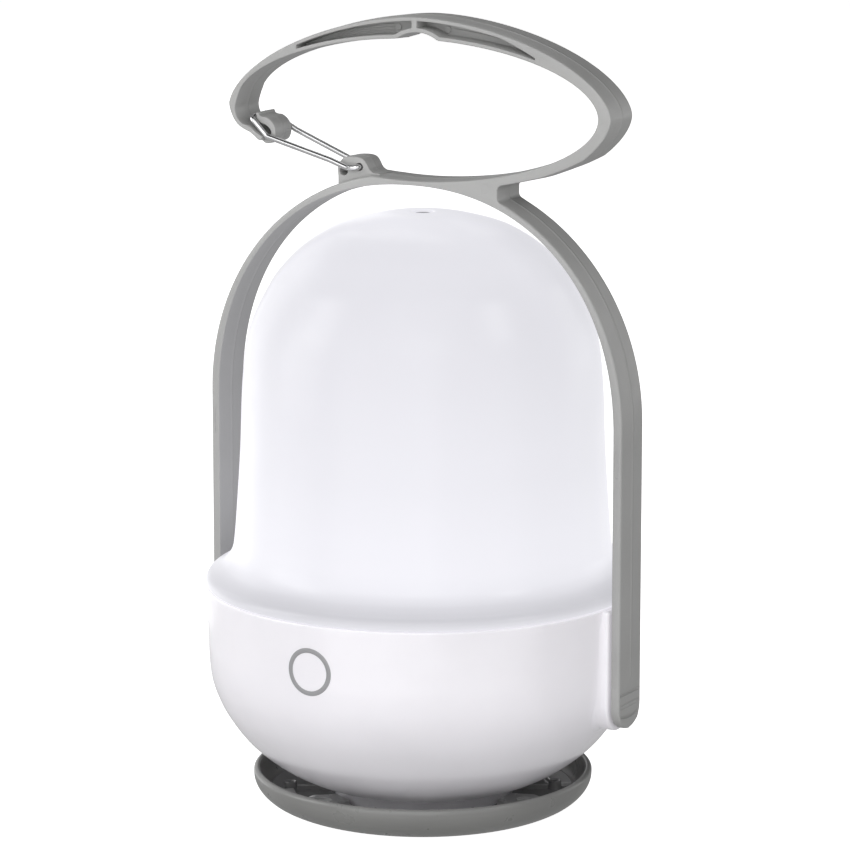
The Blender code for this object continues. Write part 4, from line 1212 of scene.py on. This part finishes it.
def make_gate(mats):
    """Spring wire: two legs, a crossbar behind the hook, and two ends in the lug."""
    ax, az = GATE_AXIS
    bx, bz = GATE_BAR
    rx, rz = GATE_REAR_END
    corners = [(ax, -1.8, az), (ax, -WIRE_Y, az), (ax - 3.4, -WIRE_Y, az - 0.3),
               (-29.7, -WIRE_Y, 204.7), (-52.6, -WIRE_Y, 210.6), (bx, -WIRE_Y, bz),
               (bx, WIRE_Y, bz), (-49.0, WIRE_Y, 211.5), (-30.7, WIRE_Y, 204.2),
               (rx, WIRE_Y, rz), (rx, 2.6, rz)]
    route = bent_path(corners, WIRE_BEND)
    curve = bpy.data.curves.new("gate_wire", "CURVE")
    curve.dimensions = "3D"
    curve.bevel_depth = WIRE_R * MM
    curve.bevel_resolution = 6
    curve.use_fill_caps = True
    spline = curve.splines.new("POLY")
    spline.points.add(len(route) - 1)
    for point, place in zip(spline.points, route):
        point.co = (*(place * MM), 1.0)
    drawn = add_object("gate_wire_route", curve)
    mesh = clean_mesh(evaluated_mesh(drawn))
    bpy.data.objects.remove(drawn, do_unlink=True)
    wire = finish_piece("gate_wire", mesh, mats["wire"], GATE, 45.0)
    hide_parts("wire_gate")


# ---- the CAD nodes that stay

def dress_inner_nodes(mats):
    """Finishes of the CAD nodes that keep their own shape."""
    finishes = {"dome_seal": "rubber", "touch_board": "green", "led_deck": "white",
                "led_board": "white_board", "driver_board": "green", "cell_holder": "black",
                "cell_strap": "nickel", "battery_cell": "cell", "usb_socket": "nickel",
                "deck_screw": "nickel", "friction_washer": "rubber", "pivot_stud": "nickel",
                "stud_clip": "nickel"}
    for name, node in frame["nodes"].items():
        for start, finish in finishes.items():
            if name.startswith(start):
                for slot in node.material_slots:
                    slot.material = mats[finish]


# ---- studio

CAMERA_AZIMUTH = 29.13           # degrees to the right of the front
CAMERA_ELEVATION = 11.39
CAMERA_DISTANCE = 1.3838
CAMERA_TARGET_Z = 0.12237
CAMERA_LENS = 187.43
CAMERA_SHIFT = 0.00253
LIGHT_TARGET_Z = 0.13
FLOOR_HALF = 6.0


def direction(azimuth, elevation):
    """Unit vector towards a place round the lantern, counted like the camera's angles."""
    a, e = radians(azimuth), radians(elevation)
    return Vector((sin(a) * cos(e), -cos(a) * cos(e), sin(e)))


def aim(obj, azimuth, elevation, distance, target_z):
    """Put a light or the camera at a distance from a point of the axis, facing it."""
    towards = direction(azimuth, elevation)
    obj.location = Vector((0.0, 0.0, target_z)) + towards * distance
    obj.rotation_euler = (-towards).to_track_quat("-Z", "Y").to_euler()


def make_camera():
    data = bpy.data.cameras.new("camera")
    data.lens = CAMERA_LENS
    data.sensor_width = 36.0
    data.shift_x = CAMERA_SHIFT
    data.clip_start = 0.05
    data.clip_end = 20.0
    camera = add_object("camera", data)
    aim(camera, CAMERA_AZIMUTH, CAMERA_ELEVATION, CAMERA_DISTANCE, CAMERA_TARGET_Z)
    bpy.context.scene.camera = camera


def make_softbox(name, azimuth, elevation, distance, size, power):
    data = bpy.data.lights.new(name, "AREA")
    data.shape = "SQUARE"
    data.size = size
    data.energy = power
    aim(add_object(name, data), azimuth, elevation, distance, LIGHT_TARGET_Z)


def make_floor():
    """A plain pale floor, bright under the lantern whatever the lights give it."""
    nodes = Nodes("pale_floor")
    nodes.tint(nodes.noise(6.0, 2.0), (0.80, 0.80, 0.80), (0.82, 0.82, 0.82))
    set_values(nodes.shader, Roughness=0.8, Specular_IOR_Level=0.1, Emission_Strength=0.95,
               Emission_Color=(1.0, 1.0, 1.0, 1.0))
    mesh = bpy.data.meshes.new("floor")
    corners = [(x * FLOOR_HALF, y * FLOOR_HALF, 0.0) for x, y in
               ((-1, -1), (1, -1), (1, 1), (-1, 1))]
    mesh.from_pydata(corners, [], [(0, 1, 2, 3)])
    mesh.materials.append(nodes.material)
    floor = add_object("floor", mesh)
    floor.location.z = -0.0002
    floor.visible_diffuse = False
    floor.visible_glossy = False


def make_world():
    """White to the camera. It lights the lantern dimly, and more from below than above."""
    world = bpy.data.worlds.new("studio")
    world.use_nodes = True
    tree = world.node_tree
    background = tree.nodes["Background"]
    way = tree.nodes.new("ShaderNodeTexCoord")
    parts = tree.nodes.new("ShaderNodeSeparateXYZ")
    share = tree.nodes.new("ShaderNodeMapRange")
    seen = tree.nodes.new("ShaderNodeLightPath")
    pick = tree.nodes.new("ShaderNodeMix")
    set_values(share, From_Min=0.15, From_Max=-0.05, To_Min=0.02, To_Max=0.43)
    set_values(pick, B=1.0)
    set_values(background, Color=(1.0, 1.0, 1.0, 1.0))
    for source, target in ((way.outputs["Generated"], parts.inputs["Vector"]),
                           (parts.outputs["Z"], share.inputs["Value"]),
                           (share.outputs["Result"], pick.inputs["A"]),
                           (seen.outputs["Is Camera Ray"], pick.inputs["Factor"]),
                           (pick.outputs["Result"], background.inputs["Strength"])):
        tree.links.new(source, target)
    bpy.context.scene.world = world


# Name, azimuth from the camera's, elevation, distance, size and power of each light
SOFTBOXES = (
    ("front", -24.0, 12.0, 2.0, 2.6, 31.0),
    ("front_right", 28.0, 12.0, 2.0, 2.6, 17.0),
    ("front_high", 0.0, 48.0, 1.6, 1.2, 3.5),
    ("left", -85.0, 10.0, 1.6, 0.9, 6.0),
    ("rear_left", -115.0, 10.0, 1.8, 1.8, 7.0),
    ("back_left", -150.0, 10.0, 1.8, 1.8, 8.0),
    ("right", 120.0, 10.0, 1.6, 0.9, 2.5),
    ("back_high", 180.0, 48.0, 1.6, 0.9, 2.4),
    ("key_left", -80.0, 31.0, 1.3, 0.42, 2.2),
    ("key_right", 60.0, 37.0, 1.3, 0.30, 1.4),
)


def make_studio():
    make_camera()
    make_world()
    make_floor()
    for name, azimuth, elevation, distance, size, power in SOFTBOXES:
        make_softbox(name, CAMERA_AZIMUTH + azimuth, elevation, distance, size, power)
    bpy.context.scene.view_settings.view_transform = "Standard"


def main():
    mats = make_materials()
    make_studio()
    make_dome(mats)
    make_bowl(mats)
    make_touch_key(mats)
    make_pads(mats)
    make_port_flap(mats)
    make_neck(mats)
    make_dish(mats)
    make_insert(mats)
    make_foot(mats)
    make_base_screws(mats)
    make_handle(mats)
    make_gate(mats)
    dress_inner_nodes(mats)


main()
